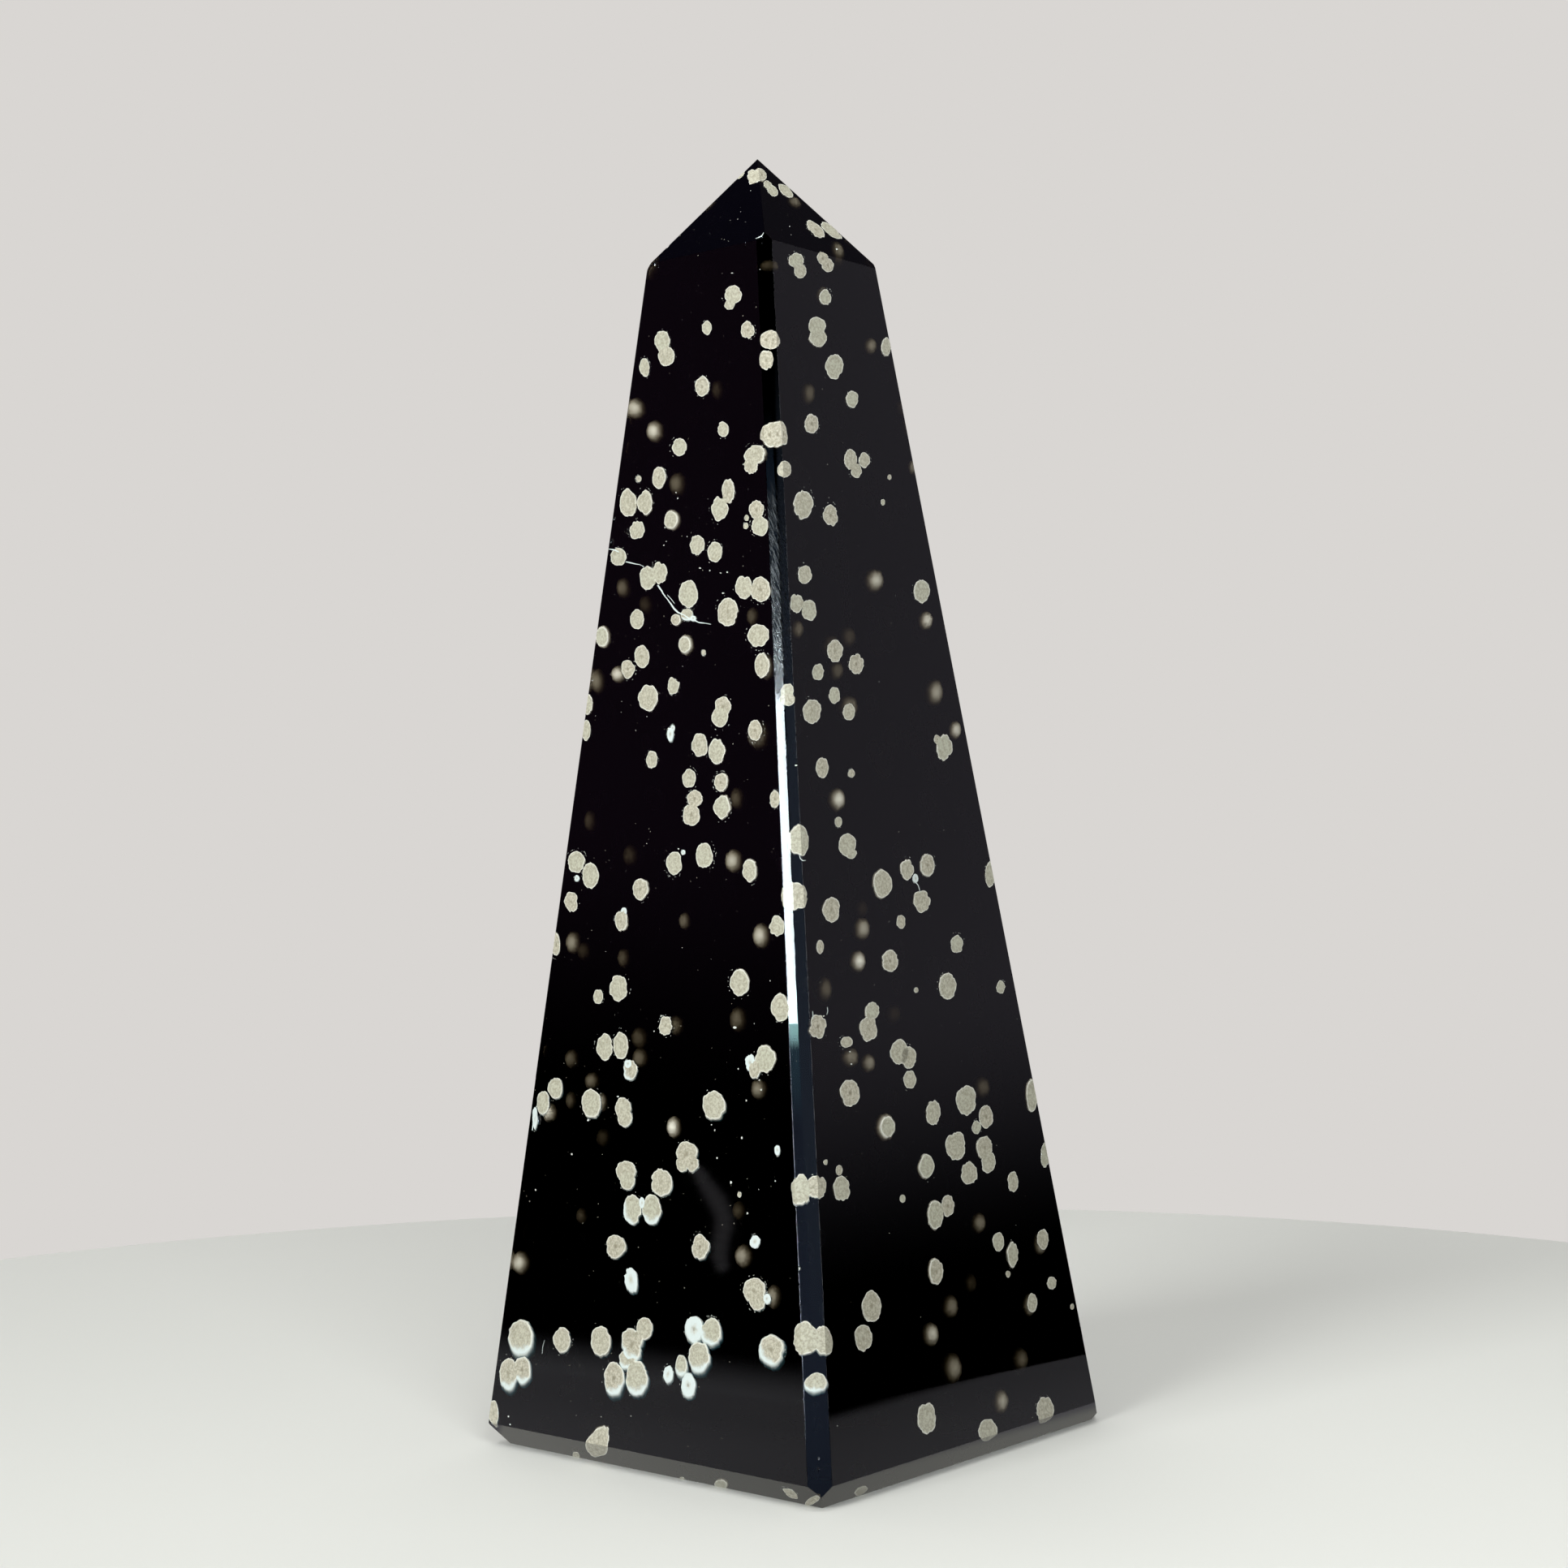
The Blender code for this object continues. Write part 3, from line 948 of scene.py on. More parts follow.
# The sides that the photo does not show: the two far faces, the far side of the tip and
# the foot carry the same growths as closely, placed at random.
FAR_SPOTS = (
    # facet, how many cut spots, how many sunken ones
    (tall_faces[0], 100, 34),
    (tall_faces[1], 100, 34),
    (pyramid_faces[0], 7, 3),
    (pyramid_faces[1], 7, 3),
    (foot, 44, 14),
)
FAR_COVERS = (VEILED_COVER, SKINNED_COVER, HAZY_COVER, DIM_COVER, BROWN_COVER, DARK_COVER)
NEAR_FACETS = tall_faces[2:4] + pyramid_faces[2:4] + corner_strips[4:6] + base_bevels[2:4]
FAR_LEAST = 0.00030
FAR_USUAL = 0.00072
FAR_MOST = 0.00112
FAR_WIDTHS = (0.85, 1.05)
FAR_HEIGHTS = (0.95, 1.15)
# The least room between two growths and the most in a pair, as shares of both reaches,
# and the room that each leaves to the seen facets, as a share of its own
CLOSEST = 0.80
TOUCHING = 0.95
CLEARANCE = 1.15
PAIRED_SHARE = 0.35
MOST_TRIES = 200
# A point this near a facet lies on it
ON_FACET = 1e-7


def lies_on_stone(point, least_room):
    """Whether a point of a facet is on the stone, and this far from its edges."""
    outside = sorted((point - place).dot(looks) for place, looks in ground_facets + [foot])
    return outside[-1] < ON_FACET and outside[-2] < -least_room


def scatter_on(facet_plane, least_room, chance):
    """A random point of a facet, this far from its edges."""
    place, looks = facet_plane
    reach = SAWN_WIDTH / 2
    while True:
        point = Vector((chance.uniform(-reach, reach), chance.uniform(-reach, reach),
                        chance.uniform(0.0, HEIGHT)))
        point -= looks * (point - place).dot(looks)
        if lies_on_stone(point, least_room):
            return point


def room_for(point, radius, taken):
    """Whether a growth neither comes near the seen facets nor covers one already there."""
    if any((point - place).dot(looks) > -radius * CLEARANCE for place, looks in NEAR_FACETS):
        return False
    return all((point - other).length > CLOSEST * (radius + size) for other, size in taken)


far_cut = new_crop()
far_sunken = new_crop()
chance = random.Random(23)
taken = []
for (place, looks), cut_count, sunken_count in FAR_SPOTS:
    if looks == foot[1]:
        sideways = Vector((1.0, 0.0, 0.0))
    else:
        sideways = Vector((0.0, 0.0, 1.0)).cross(looks).normalized()
    upright = looks.cross(sideways)
    for number in range(cut_count + sunken_count):
        for attempt in range(MOST_TRIES):
            radius = chance.triangular(FAR_LEAST, FAR_MOST, FAR_USUAL)
            point = scatter_on((place, looks), 0.0, chance)
            if taken and number and chance.random() < PAIRED_SHARE:
                other, size = taken[-1]
                turn = chance.uniform(0.0, math.tau)
                point = other + (sideways * math.cos(turn) + upright * math.sin(turn)) * (
                    (radius + size) * chance.uniform(CLOSEST, TOUCHING))
                if not lies_on_stone(point - looks * (point - place).dot(looks), 0.0):
                    continue
                point -= looks * (point - place).dot(looks)
            if room_for(point, radius, taken):
                break
        else:
            continue
        taken.append((point, radius))
        across = sideways * radius * chance.uniform(*FAR_WIDTHS)
        upward = upright * radius * chance.uniform(*FAR_HEIGHTS)
        if number < cut_count:
            sunk = chance.uniform(*PLAIN_SUNK)
            inward = any_lean(looks, radius, across, upward, chance)
            widened = 1.0 / math.cos(math.asin(sunk))
            grow_spherulite(far_cut, point + inward * sunk, across * widened,
                            upward * widened, inward, chance, chance.uniform(*CUT_ROUNDNESS))
        else:
            cover = FAR_COVERS[number % len(FAR_COVERS)]
            thick = radius * FLATNESS
            grow_spherulite(far_sunken, point - looks * (thick + chance.uniform(*cover)),
                            across, upward, looks * -thick, chance, SUNKEN_ROUNDNESS,
                            layers=FLANK_LAYERS, bluntness=SUNKEN_BLUNTNESS)
make_piece(far_cut, "cut_spherulites_far_sides", spherulite)
make_piece(far_sunken, "sunken_spherulites_far_sides", spherulite)

# Specks: young spherulites and healed bubbles 0.02 to 0.08 mm across, which the polish
# cut too.  Most are scattered at random, and the brightest are where the photo shows
# them.  Thin shells of healed cracks glint as short dashes round the cut spherulites.
# The paleness of the specks is partly a painted glint, standing in for light caught by tiny pits.
SPECK_LEAST = 0.000010
SPECK_MOST = 0.000042
SPECKS_ON_FACES = (
    (tall_faces[2:3], 420),
    (pyramid_faces[2:3], 16),
    (tall_faces[3:4], 70),
    (pyramid_faces[3:4], 8),
    (tall_faces[0:2], 480),
    (pyramid_faces[0:2], 24),
)
# Most specks are small, the more so the higher this is
SPECK_SKEW = 3
SPECK_CORNERS = 6
SPECK_REACH = (0.6, 1.2)
# The attributes growth and white_and_painted_glow of a speck: a dark one has the first
# alone, and a pale one gets a painted glint from the second
SPECK_SKIN = 0.5
PALE_SKIN = 0.55
PALE_GLINT = 0.6
# How many broken shells go round a spot, one of these numbers at random, how far out,
# and how many dashes are in each, with the turn from one to the next
SHELLS_ON_LEFT = (1, 1, 2, 3)
SHELLS_ELSEWHERE = (0, 0, 1, 1)
SHELL_REACH = (1.06, 1.24)
SHELL_SWAY = (0.95, 1.05)
DASH_COUNT = (2, 6)
DASH_TURN = (0.12, 0.75)
# Half the length and half the width of a dash
DASH_LENGTH = (0.00001, 0.00009)
DASH_WIDTH = (0.000008, 0.000026)
# The sparkles are painted glints: pale specks where light catches tiny pits.
SPARKLE_SCALE = 0.60
SPARKLES = [
    (862.7, 700, 5, 3), (891, 731, 5, 3), (819.6, 650, 3, 3), (818, 672, 3, 3), (821, 667, 3, 2),
    (888, 706, 4, 2), (896, 705, 3, 3), (874.6, 703, 3, 3), (846.7, 661, 3, 3), (836, 1046, 4, 3),
    (841, 1053, 3, 3), (835, 614, 3, 4), (833, 607, 3, 3), (831, 637, 3, 3), (704.8, 1422, 4, 5),
    (660, 1466, 3, 5), (1049, 1311, 4, 4), (626.5, 1745.5, 4, 4), (628.5, 1755, 3, 4),
    (905.6, 1266, 7, 5), (914, 1402, 3, 6),
    (883.6, 1427, 4, 5), (900.7, 1457, 5, 7), (921, 1495, 4, 5), (880.8, 1392.6, 3, 5),
    (876.6, 1386, 3, 4), (919.7, 1356, 3, 4), (909.8, 1317, 3, 5), (938, 1343, 3, 4),
    (955.4, 1455, 3, 4), (761.4, 1351, 4, 4), (724.5, 1380, 5, 5), (815, 1251.6, 4, 3),
    (813.6, 1272, 4, 4), (806, 1270.7, 3, 3), (985, 1563, 4, 6), (1031, 307, 4, 4),
    (933.3, 820, 4, 4), (981, 943, 8, 3), (936, 1331, 4, 3), (1047, 1296, 4, 3),
    (1015, 1252, 4, 3), (912.5, 261, 2, 1), (909, 270, 2, 1), (925, 235, 2, 1), (973, 279, 2, 2),
    (936.5, 332, 2, 2), (902, 336.5, 7, 2), (801, 325, 4, 2), (807, 327, 3, 2),
]


def add_speck(crop, point, looks, half_width, half_height, chance, pale):
    """Add one six-sided speck, ground flush with its facet."""
    start = len(crop["points"])
    for step in range(SPECK_CORNERS):
        turn = math.tau * step / SPECK_CORNERS
        reach = chance.uniform(*SPECK_REACH)
        crop["points"].append(point + looks * PROUD_LEAST
                              + half_width * math.cos(turn) * reach
                              + half_height * math.sin(turn) * reach)
    crop["points"].append(point - looks * half_height.length)
    tip = start + SPECK_CORNERS
    crop["faces"].append(list(range(start, tip)))
    for step in range(SPECK_CORNERS):
        crop["faces"].append([start + (step + 1) % SPECK_CORNERS, start + step, tip])
    count = SPECK_CORNERS + 1
    crop["smooth"] += [False] * count
    crop["growth"] += [SPECK_SKIN + PALE_SKIN * pale] * count
    crop["tone"] += [chance.random()] * count
    crop["white_and_painted_glow"] += [PALE_GLINT * pale] * count


specks = new_crop()
chance = random.Random(5)
for planes, count in SPECKS_ON_FACES:
    for number in range(count):
        place, looks = chance.choice(planes)
        point = scatter_on((place, looks), SPECK_MOST * 2, chance)
        sideways = Vector((0.0, 0.0, 1.0)).cross(looks).normalized()
        radius = SPECK_LEAST + (SPECK_MOST - SPECK_LEAST) * chance.random() ** SPECK_SKEW
        add_speck(specks, point, looks, sideways * radius, looks.cross(sideways) * radius,
                  chance, chance.random())
# The dashes are painted glints of thin healed-crack shells round the spots.
for middle, across, upward, looks, white_and_painted_glow in placed:
    on_left = looks == tall_faces[2][1]
    for shell in range(chance.choice(SHELLS_ON_LEFT if on_left else SHELLS_ELSEWHERE)):
        turn = chance.uniform(0.0, math.tau)
        reach = chance.uniform(*SHELL_REACH)
        for dash in range(chance.randint(*DASH_COUNT)):
            turn += chance.uniform(*DASH_TURN)
            outward = across * math.cos(turn) + upward * math.sin(turn)
            along = upward * math.cos(turn) - across * math.sin(turn)
            point = middle + outward * reach * chance.uniform(*SHELL_SWAY)
            if lies_on_stone(point, DASH_LENGTH[1]):
                add_speck(specks, point, looks,
                          along.normalized() * chance.uniform(*DASH_LENGTH),
                          outward.normalized() * chance.uniform(*DASH_WIDTH), chance, 1.0)
for x, y, width, height in SPARKLES:
    middle, across, upward, looks = lay_in_picture(x, y, width, height)
    add_speck(specks, middle, looks, across * SPARKLE_SCALE, upward * SPARKLE_SCALE, chance, 1.0)
make_piece(specks, "fine_specks", spherulite)

# Healed cracks: thin seams between the spherulites, up to 0.2 mm wide, that filled with
# crystals and were polished with the stone.  Their blue-white is partly a painted glint of
# light off the crack faces, and the short arc near the tip is a painted highlight along a
# chip's edge.  Each is a list of picture points with the seam's width there, in the photo's
# pixels.
CRACKS = [
    ((750.7, 677, 1.5), (757, 678, 3), (763, 680, 2)),
    ((771, 692, 1.5), (776, 693, 2.5), (782.7, 695, 2), (788, 696, 1), (793, 698, 1.5)),
    ((811, 721, 3), (814.5, 727, 3.5), (818, 732.5, 2.5), (822, 738.5, 2), (827, 745, 3),
     (831, 750, 4), (836, 754.6, 3.5), (843, 758, 2), (850, 762.5, 4), (856, 764.5, 3.5),
     (861, 767, 2), (864.4, 767, 2.5), (870, 768, 1.2), (876, 769.5, 1)),
    ((822, 733, 1), (827, 738, 1.4), (831, 743.5, 0.8)),
    ((931, 294, 0.8), (934, 293, 1.4), (937, 291.6, 1.8), (939.6, 289.4, 1.4), (941, 287, 0.6)),
    ((984, 1052, 1), (986, 1058, 1.8), (989, 1061, 2), (993, 1060, 1)),
    ((1124, 1080, 1), (1127, 1085, 2.5), (1131, 1091, 1.5), (1134, 1099, 1)),
    ((656, 1393, 2), (658, 1380, 3), (661, 1363, 1.5)),
    ((671, 1651, 0.5), (669, 1660, 0.7), (668, 1668, 0.5)),
    ((1001, 1246, 1), (1002, 1251, 1.8), (1001, 1256, 1)),
    ((1019, 1241, 1), (1020, 1246, 1.5), (1019, 1250, 1)),
]
CRACK_SCALE = 0.55
CRACK_SWAY = 0.5
cracks = new_crop()
for seam in CRACKS:
    crossings = []
    for number, (x, y, width) in enumerate(seam):
        before = seam[max(number - 1, 0)]
        after = seam[min(number + 1, len(seam) - 1)]
        along = math.atan2(after[1] - before[1], after[0] - before[0])
        middle, sideways, onward, looks = lay_in_picture(
            x + chance.uniform(-CRACK_SWAY, CRACK_SWAY),
            y + chance.uniform(-CRACK_SWAY, CRACK_SWAY),
            width * CRACK_SCALE, width * CRACK_SCALE, along + math.pi / 2)
        start = len(cracks["points"])
        cracks["points"] += [middle - sideways + looks * PROUD_MOST,
                             middle + sideways + looks * PROUD_MOST,
                             middle - looks * sideways.length]
        crossings.append(start)
    for low, high in zip(crossings, crossings[1:]):
        cracks["faces"] += [[low, low + 1, high + 1, high],
                            [low + 1, low + 2, high + 2, high + 1],
                            [low + 2, low, high, high + 2]]
    cracks["faces"] += [[crossings[0], crossings[0] + 2, crossings[0] + 1],
                        [crossings[-1], crossings[-1] + 1, crossings[-1] + 2]]
cracks["smooth"] = [False] * len(cracks["faces"])
for attribute in ("growth", "tone", "white_and_painted_glow"):
    cracks[attribute] = [1.0] * len(cracks["points"])
seams = make_piece(cracks, "healed_cracks_with_painted_glint", spherulite)
outward = bmesh.new()
outward.from_mesh(seams.data)
bmesh.ops.recalc_face_normals(outward, faces=outward.faces)
outward.to_mesh(seams.data)
outward.free()

# The floor is a plain pale round board.  Its edge is where the grey at the foot of the
# dark reflections ends, which gives its size.
BOARD_RADIUS = 0.1367
BOARD_MIDDLE = (-0.0227, 0.0020, 0.0)
bpy.ops.object.select_all(action="DESELECT")
bpy.ops.mesh.primitive_circle_add(vertices=128, radius=BOARD_RADIUS, fill_type="NGON",
                                  location=BOARD_MIDDLE)
board = bpy.context.object
board.name = "pale_board"
bpy.ops.object.transform_apply(location=True, rotation=True, scale=True)
# Painted board.  For rays that the polish mirrors, the board is an emission, a painted
# reflection with painted shade: most of what the foot of the stone mirrors is the board's
# shaded far half, so this painted reflection is dimmer there, and its mirrored rim is 88 mm
# to the stone's right.
MIRRORED_RIM_Y = -0.088
MIRRORED_RIM_SOFTNESS = 0.008
MIRRORED_NEAR = 0.03
MIRRORED_FAR = 0.10
pale = bpy.data.materials.new("pale_board")
pale.use_nodes = True
tree = pale.node_tree
tree.nodes.clear()
kind = add_node(tree, "ShaderNodeLightPath")
# In the photo the board throws little light up on the stone
# For light bounced off it the board's colour is painted darker, which paints shade on the stone,
# most of all low down.
paint = add_node(tree, "ShaderNodeMix", {
    "Factor": kind.outputs["Is Diffuse Ray"],
    "A": linear("#D8D8D2"),
    "B": linear("#80807C"),
}, data_type="RGBA")
lit = add_node(tree, "ShaderNodeBsdfPrincipled", {
    "Base Color": paint.outputs["Result"],
    "Roughness": 0.6,
})
where = add_node(tree, "ShaderNodeTexCoord")
apart = add_node(tree, "ShaderNodeSeparateXYZ", {0: where.outputs["Object"]})
away = add_node(tree, "ShaderNodeVectorMath", {0: where.outputs["Object"]}, operation="LENGTH")
dim = add_node(tree, "ShaderNodeMapRange", {
    "Value": away.outputs["Value"],
    "From Min": MIRRORED_NEAR,
    "From Max": MIRRORED_FAR,
    "To Min": 0.42,
    "To Max": 0.32,
})
sided = add_node(tree, "ShaderNodeMapRange", {
    "Value": apart.outputs["Y"],
    "From Min": -0.03,
    "From Max": 0.03,
    "To Min": 0.98,
    "To Max": 1.30,
}, interpolation_type="SMOOTHSTEP")
dim = add_node(tree, "ShaderNodeMath", {
    0: dim.outputs["Result"],
    1: sided.outputs["Result"],
}, operation="MULTIPLY")
before_rim = add_node(tree, "ShaderNodeMapRange", {
    "Value": apart.outputs["Y"],
    "From Min": MIRRORED_RIM_Y - MIRRORED_RIM_SOFTNESS,
    "From Max": MIRRORED_RIM_Y + MIRRORED_RIM_SOFTNESS,
}, interpolation_type="SMOOTHSTEP")
dim = add_node(tree, "ShaderNodeMath", {
    0: dim.outputs[0],
    1: before_rim.outputs["Result"],
}, operation="MULTIPLY")
# The bevel round the foot mirrors only the board under it, whose painted reflection is
# brighter up to the first of these distances from the stone's axis, and not past the
# second: a painted highlight on the bevel.
UNDER_BEVEL = (0.0172, 0.0180)
BEVEL_GLOW = 1.8
aside_x = add_node(tree, "ShaderNodeMath", {0: apart.outputs["X"]}, operation="ABSOLUTE")
aside_y = add_node(tree, "ShaderNodeMath", {0: apart.outputs["Y"]}, operation="ABSOLUTE")
aside = add_node(tree, "ShaderNodeMath", {
    0: aside_x.outputs[0],
    1: aside_y.outputs[0],
}, operation="MAXIMUM")
under_bevel = add_node(tree, "ShaderNodeMapRange", {
    "Value": aside.outputs[0],
    "From Min": UNDER_BEVEL[0],
    "From Max": UNDER_BEVEL[1],
    "To Min": 1.0,
    "To Max": 0.0,
}, interpolation_type="SMOOTHSTEP")
glow = add_node(tree, "ShaderNodeMix", {
    "Factor": under_bevel.outputs["Result"],
    "A": linear("#F8F6FF"),
    "B": [channel * BEVEL_GLOW for channel in linear("#F6F6EE")[:3]] + [1.0],
}, data_type="RGBA")
mirrored = add_node(tree, "ShaderNodeEmission", {
    "Color": glow.outputs["Result"],
    "Strength": dim.outputs[0],
})
either = add_node(tree, "ShaderNodeMixShader", {
    0: kind.outputs["Is Glossy Ray"],
    1: lit.outputs["BSDF"],
    2: mirrored.outputs["Emission"],
})
add_node(tree, "ShaderNodeOutputMaterial", {"Surface": either.outputs["Shader"]})
board.data.materials.append(pale)

# The light: a soft box behind the camera, which makes the white streak on the near
# strip, a soft key from the left, a wide one overhead, and a small one close above the
# camera, which lights the top more than the foot.  Only the first is mirrored.
LIGHTS = {
    "streak": {"azimuth": 206.3, "elevation": 17.4, "tilt": 4.4, "distance": 1.2,
               "size": (0.36, 0.180), "radiance": 32.0, "colour": (0.82, 0.93, 1.0),
               "mirrored": True},
    "key": {"azimuth": 178.0, "elevation": 29.0, "tilt": 0.0, "distance": 1.2,
            "size": (0.5, 0.5), "radiance": 12.9, "colour": (0.98, 1.0, 0.99),
            "mirrored": False},
    "near": {"azimuth": 236.0, "elevation": 31.0, "tilt": 0.0, "distance": 0.19,
             "size": (0.076, 0.076), "radiance": 11.0, "colour": (0.955, 0.99, 1.0),
             "mirrored": False},
    "overhead": {"azimuth": 200.0, "elevation": 86.0, "tilt": 0.0, "distance": 1.2,
                 "size": (0.9, 0.9), "radiance": 2.8, "colour": (1.0, 1.0, 1.0),
                 "mirrored": False},
}
LIT_POINT = Vector((0.0, 0.0, 0.05))
for name, box in LIGHTS.items():
    azimuth = math.radians(box["azimuth"])
    elevation = math.radians(box["elevation"])
    towards = Vector((math.cos(azimuth) * math.cos(elevation),
                      math.sin(azimuth) * math.cos(elevation), math.sin(elevation)))
    data = bpy.data.lights.new(name, "AREA")
    data.shape = "RECTANGLE"
    data.size, data.size_y = box["size"]
    data.energy = box["radiance"] * math.pi * data.size * data.size_y
    data.color = box["colour"]
    lamp = bpy.data.objects.new(name, data)
    lamp.location = LIT_POINT + towards * box["distance"]
    facing = towards.to_track_quat("Z", "Y").to_matrix()
    lamp.rotation_euler = (facing @ Matrix.Rotation(math.radians(box["tilt"]), 3, "Z")).to_euler()
    lamp.visible_camera = False
    lamp.visible_transmission = False
    lamp.visible_glossy = box["mirrored"]
    lamp.visible_diffuse = not box["mirrored"]
    bpy.context.scene.collection.objects.link(lamp)

# The room is plain.  It is pale where the camera looks past the stone, and what the
# polish mirrors of it is dark, apart from a soft grey side that the right face shows and
# two tall windows that only the rounded edges catch.
MIRRORED = [
    # direction, cosine at the edge and at the full strength, colour, strength, and the
    # heights above the level between which its dark foot ends
    ((0.744, -0.621, 0.246), 0.80, 0.93, "#88848F", 1.0, -0.015, 0.095),
    ((-0.66, 0.72, 0.25), 0.80, 0.95, "#453347", 1.0, 0.06, 0.17),
    ((0.07, 0.66, 0.75), 0.80, 0.95, "#242133", 1.0, -0.01, 0.11),
    ((0.74, 0.05, 0.67), 0.80, 0.97, "#322F38", 1.0, -0.01, 0.11),
    ((-0.695, -0.719, 0.035), 0.940, 0.974, "#8294B8", 1.0, -0.01, 0.11),
    ((-0.504, -0.807, 0.309), 0.978, 0.9976, "#8B9DBA", 1.1, -0.01, 0.11),
    ((-0.750, -0.529, 0.399), 0.9962, 0.9990, "#7FA2CC", 0.7, -0.01, 0.11),
    ((-0.792, -0.556, 0.250), 0.99920, 0.99996, "#7FA8C4", 1.6, -0.01, 0.11),
    ((-0.7912, -0.5561, 0.2546), 0.999910, 0.999990, "#B8EFEF", 12.0, -0.01, 0.11),
    ((-0.995, 0.10, -0.03), 0.914, 0.961, "#DCE8FF", 14.0, -0.01, 0.04),
    ((0.12, -0.97, 0.25), 0.955, 0.985, "#F0F4FF", 3.0, -0.01, 0.11),
]
# The left face is flat here, and the room paints what a face ground a little hollow would show: a
# board-coloured band below the level on the left, a painted reflection of the board further out
BOARD_SEEN_LOW = -0.047
BOARD_SEEN_HIGH = -0.031
BOARD_FAR_OUT = linear("#AFAFB5")
# A soft slanting gleam low on the left face: picture points on its middle line, and its
# half width there.  It is full up to the first share of that width and ends at the second.
GLEAM = [
    (861, 1444, 9), (866, 1452, 11), (872, 1462, 12), (878, 1471, 13), (884, 1480, 14),
    (889, 1490, 14), (892.5, 1501, 14), (892.5, 1512, 14), (890, 1524, 13), (888, 1536, 13),
    (887.5, 1548, 12), (890, 1559, 10),
]
GLEAM_SHARES = (0.2, 1.25)
GLEAM_GLOW = linear("#959397")
# Where the lighter side of the room lies, and the key
BACK_SIDE = Vector((0.70, 0.70, 0.14)).normalized()
KEY_SIDE = Vector((-0.90, -0.10, 0.42)).normalized()
room = bpy.data.worlds.new("plain_room")
bpy.context.scene.world = room
room.use_nodes = True
tree = room.node_tree
tree.nodes.clear()
looking = add_node(tree, "ShaderNodeTexCoord")
kind = add_node(tree, "ShaderNodeLightPath")
apart = add_node(tree, "ShaderNodeSeparateXYZ", {0: looking.outputs["Generated"]})
mirrored = (0.0, 0.0, 0.0, 1.0)
for direction, edge, full, colour, strength, foot_low, foot_high in MIRRORED:
    towards = Vector(direction).normalized()
    nearness = add_node(tree, "ShaderNodeVectorMath", {
        0: looking.outputs["Generated"],
        1: towards,
    }, operation="DOT_PRODUCT")
    patch = add_node(tree, "ShaderNodeMapRange", {
        "Value": nearness.outputs["Value"],
        "From Min": edge,
        "From Max": full,
    }, interpolation_type="SMOOTHSTEP")
    above = add_node(tree, "ShaderNodeMapRange", {
        "Value": apart.outputs["Z"],
        "From Min": foot_low,
        "From Max": foot_high,
    }, interpolation_type="SMOOTHSTEP")
    amount = add_node(tree, "ShaderNodeMath", {
        0: patch.outputs["Result"],
        1: above.outputs["Result"],
    }, operation="MULTIPLY")
    glow = linear(colour)
    mixed = add_node(tree, "ShaderNodeMix", {
        "Factor": amount.outputs[0],
        "A": mirrored,
        "B": [channel * strength for channel in glow[:3]] + [1.0],
    }, data_type="RGBA")
    mirrored = mixed.outputs["Result"]
gleam = 0.0
for x, y, half_width in GLEAM:
    line = sight_line(x, y)
    beside = sight_line(x + half_width, y)
    looks = tall_faces[2][1]
    towards = line - looks * 2 * line.dot(looks)
    reach = ((beside - looks * 2 * beside.dot(looks)) - towards).length
    away = add_node(tree, "ShaderNodeVectorMath", {
        0: looking.outputs["Generated"],
        1: towards,
    }, operation="DISTANCE")
    spot = add_node(tree, "ShaderNodeMapRange", {
        "Value": away.outputs["Value"],
        "From Min": reach * GLEAM_SHARES[0],
        "From Max": reach * GLEAM_SHARES[1],
        "To Min": 1.0,
        "To Max": 0.0,
    }, interpolation_type="SMOOTHSTEP")
    most = add_node(tree, "ShaderNodeMath", {
        0: gleam,
        1: spot.outputs["Result"],
    }, operation="MAXIMUM")
    gleam = most.outputs[0]
mixed = add_node(tree, "ShaderNodeMix", {
    "Factor": gleam,
    "A": mirrored,
    "B": GLEAM_GLOW,
}, data_type="RGBA")
mirrored = mixed.outputs["Result"]
below = add_node(tree, "ShaderNodeMapRange", {
    "Value": apart.outputs["Z"],
    "From Min": BOARD_SEEN_LOW,
    "From Max": BOARD_SEEN_HIGH,
    "To Min": 1.0,
    "To Max": 0.0,
}, interpolation_type="SMOOTHSTEP")
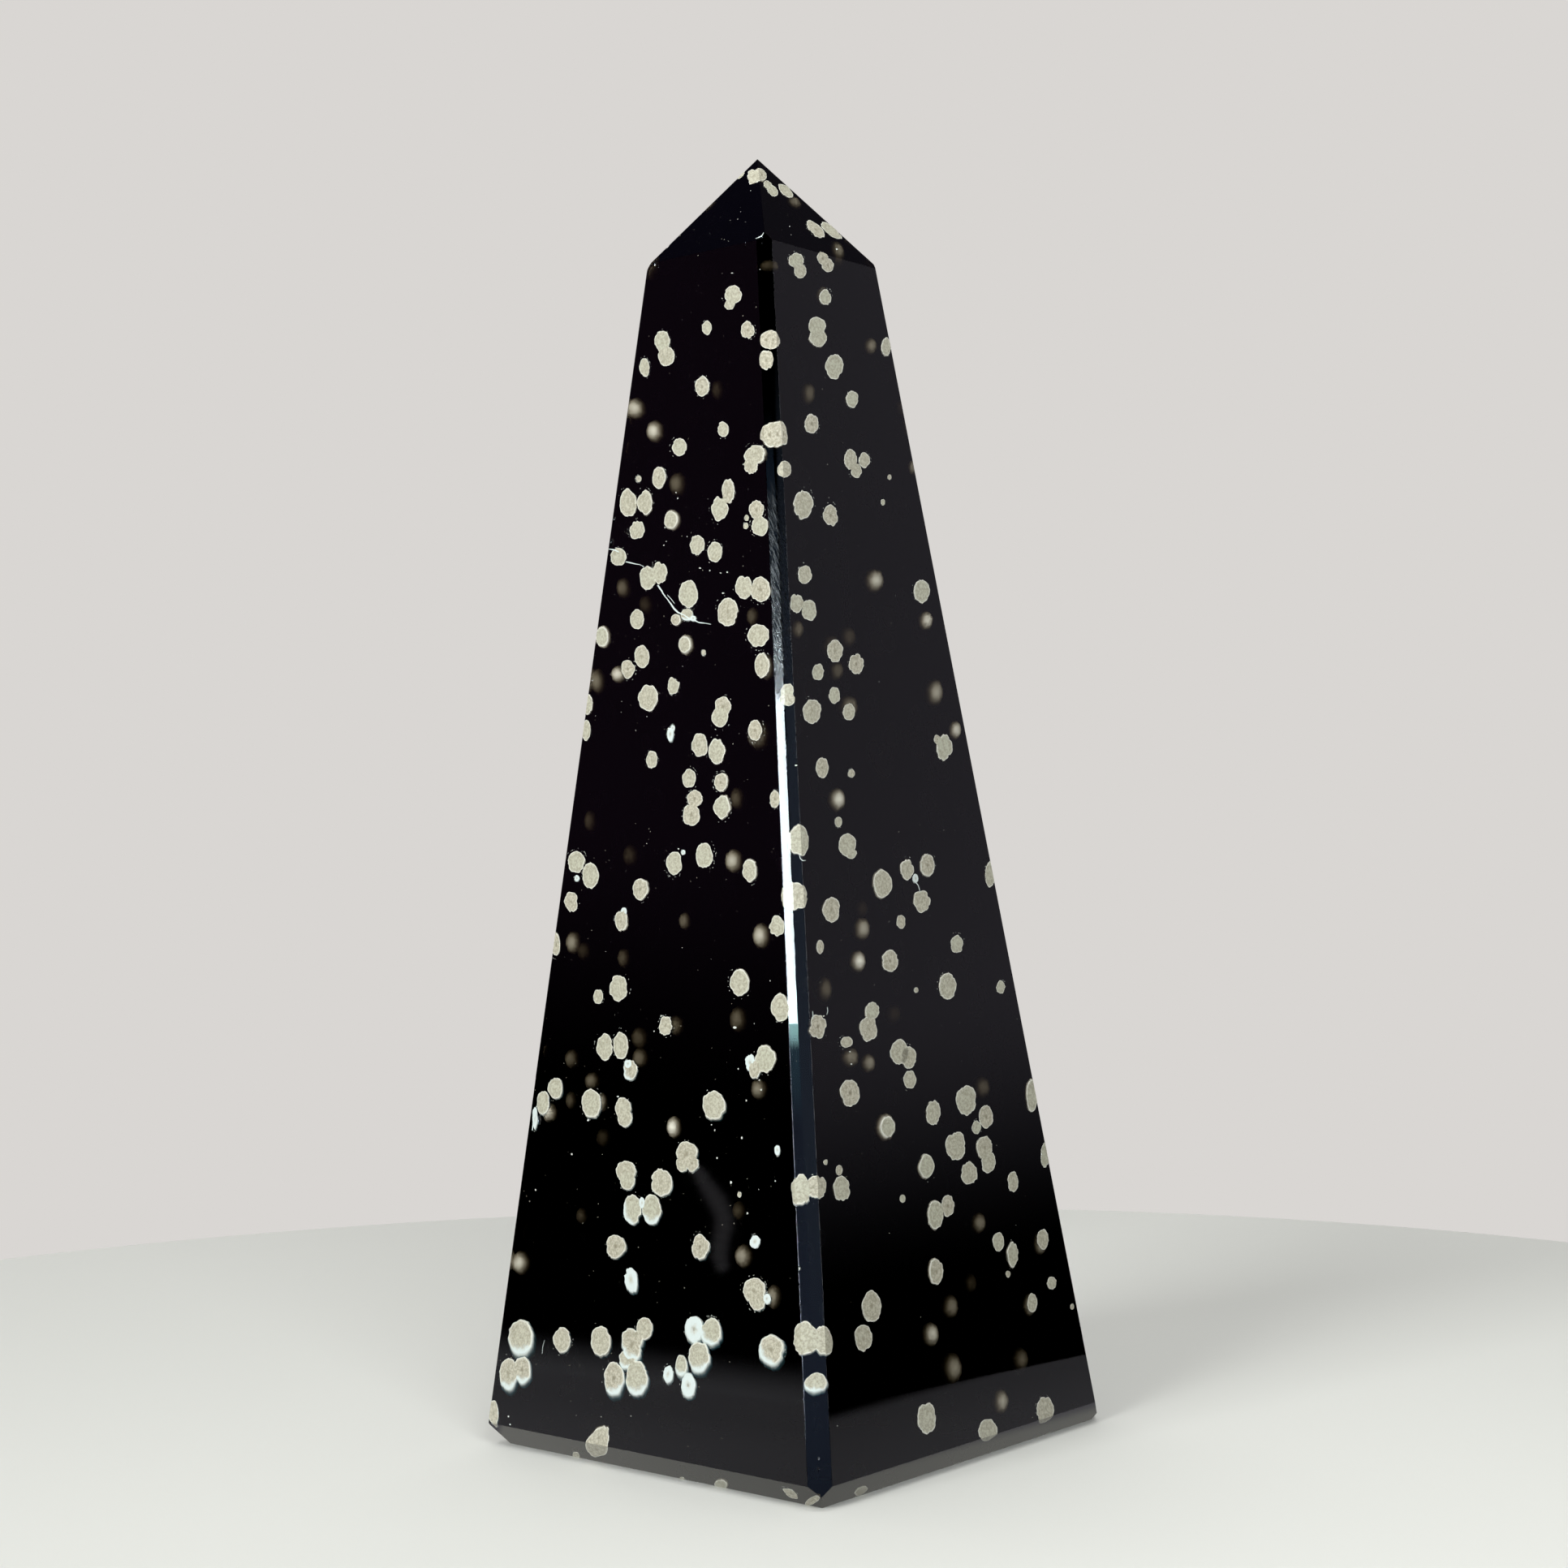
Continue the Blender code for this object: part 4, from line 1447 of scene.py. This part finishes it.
on_left = add_node(tree, "ShaderNodeMath", {
    0: apart.outputs["Y"],
    1: 0.0,
}, operation="GREATER_THAN")
below = add_node(tree, "ShaderNodeMath", {
    0: below.outputs["Result"],
    1: on_left.outputs[0],
}, operation="MULTIPLY")
mixed = add_node(tree, "ShaderNodeMix", {
    "Factor": below.outputs[0],
    "A": mirrored,
    "B": BOARD_FAR_OUT,
}, data_type="RGBA")
mirrored = mixed.outputs["Result"]
# The room behind the stone is lighter and lights the sides that the photo doesn't show.
back_side = add_node(tree, "ShaderNodeVectorMath", {
    0: looking.outputs["Generated"],
    1: BACK_SIDE,
}, operation="DOT_PRODUCT")
around = add_node(tree, "ShaderNodeMapRange", {
    "Value": back_side.outputs["Value"],
    "From Min": 0.2,
    "From Max": 0.9,
    "To Min": 0.10,
    "To Max": 0.80,
}, interpolation_type="SMOOTHSTEP")
soft = add_node(tree, "ShaderNodeMix", {
    "Factor": kind.outputs["Is Glossy Ray"],
    "A": around.outputs["Result"],
    "B": mirrored,
}, data_type="RGBA")
# Light that reaches the growths through the glass comes mostly from the key's side.
key_side = add_node(tree, "ShaderNodeVectorMath", {
    0: looking.outputs["Generated"],
    1: KEY_SIDE,
}, operation="DOT_PRODUCT")
through = add_node(tree, "ShaderNodeMapRange", {
    "Value": key_side.outputs["Value"],
    "From Min": -0.2,
    "From Max": 0.9,
    "To Min": 0.7,
    "To Max": 4.0,
}, interpolation_type="SMOOTHSTEP")
inside = add_node(tree, "ShaderNodeMix", {
    "Factor": kind.outputs["Is Transmission Ray"],
    "A": soft.outputs["Result"],
    "B": through.outputs["Result"],
}, data_type="RGBA")
behind = add_node(tree, "ShaderNodeMix", {
    "Factor": kind.outputs["Is Camera Ray"],
    "A": inside.outputs["Result"],
    "B": linear("#D9D6D3"),
}, data_type="RGBA")
shine = add_node(tree, "ShaderNodeBackground", {"Color": behind.outputs["Result"]})
add_node(tree, "ShaderNodeOutputWorld", {"Surface": shine.outputs["Background"]})
bpy.context.scene.view_settings.view_transform = "Standard"
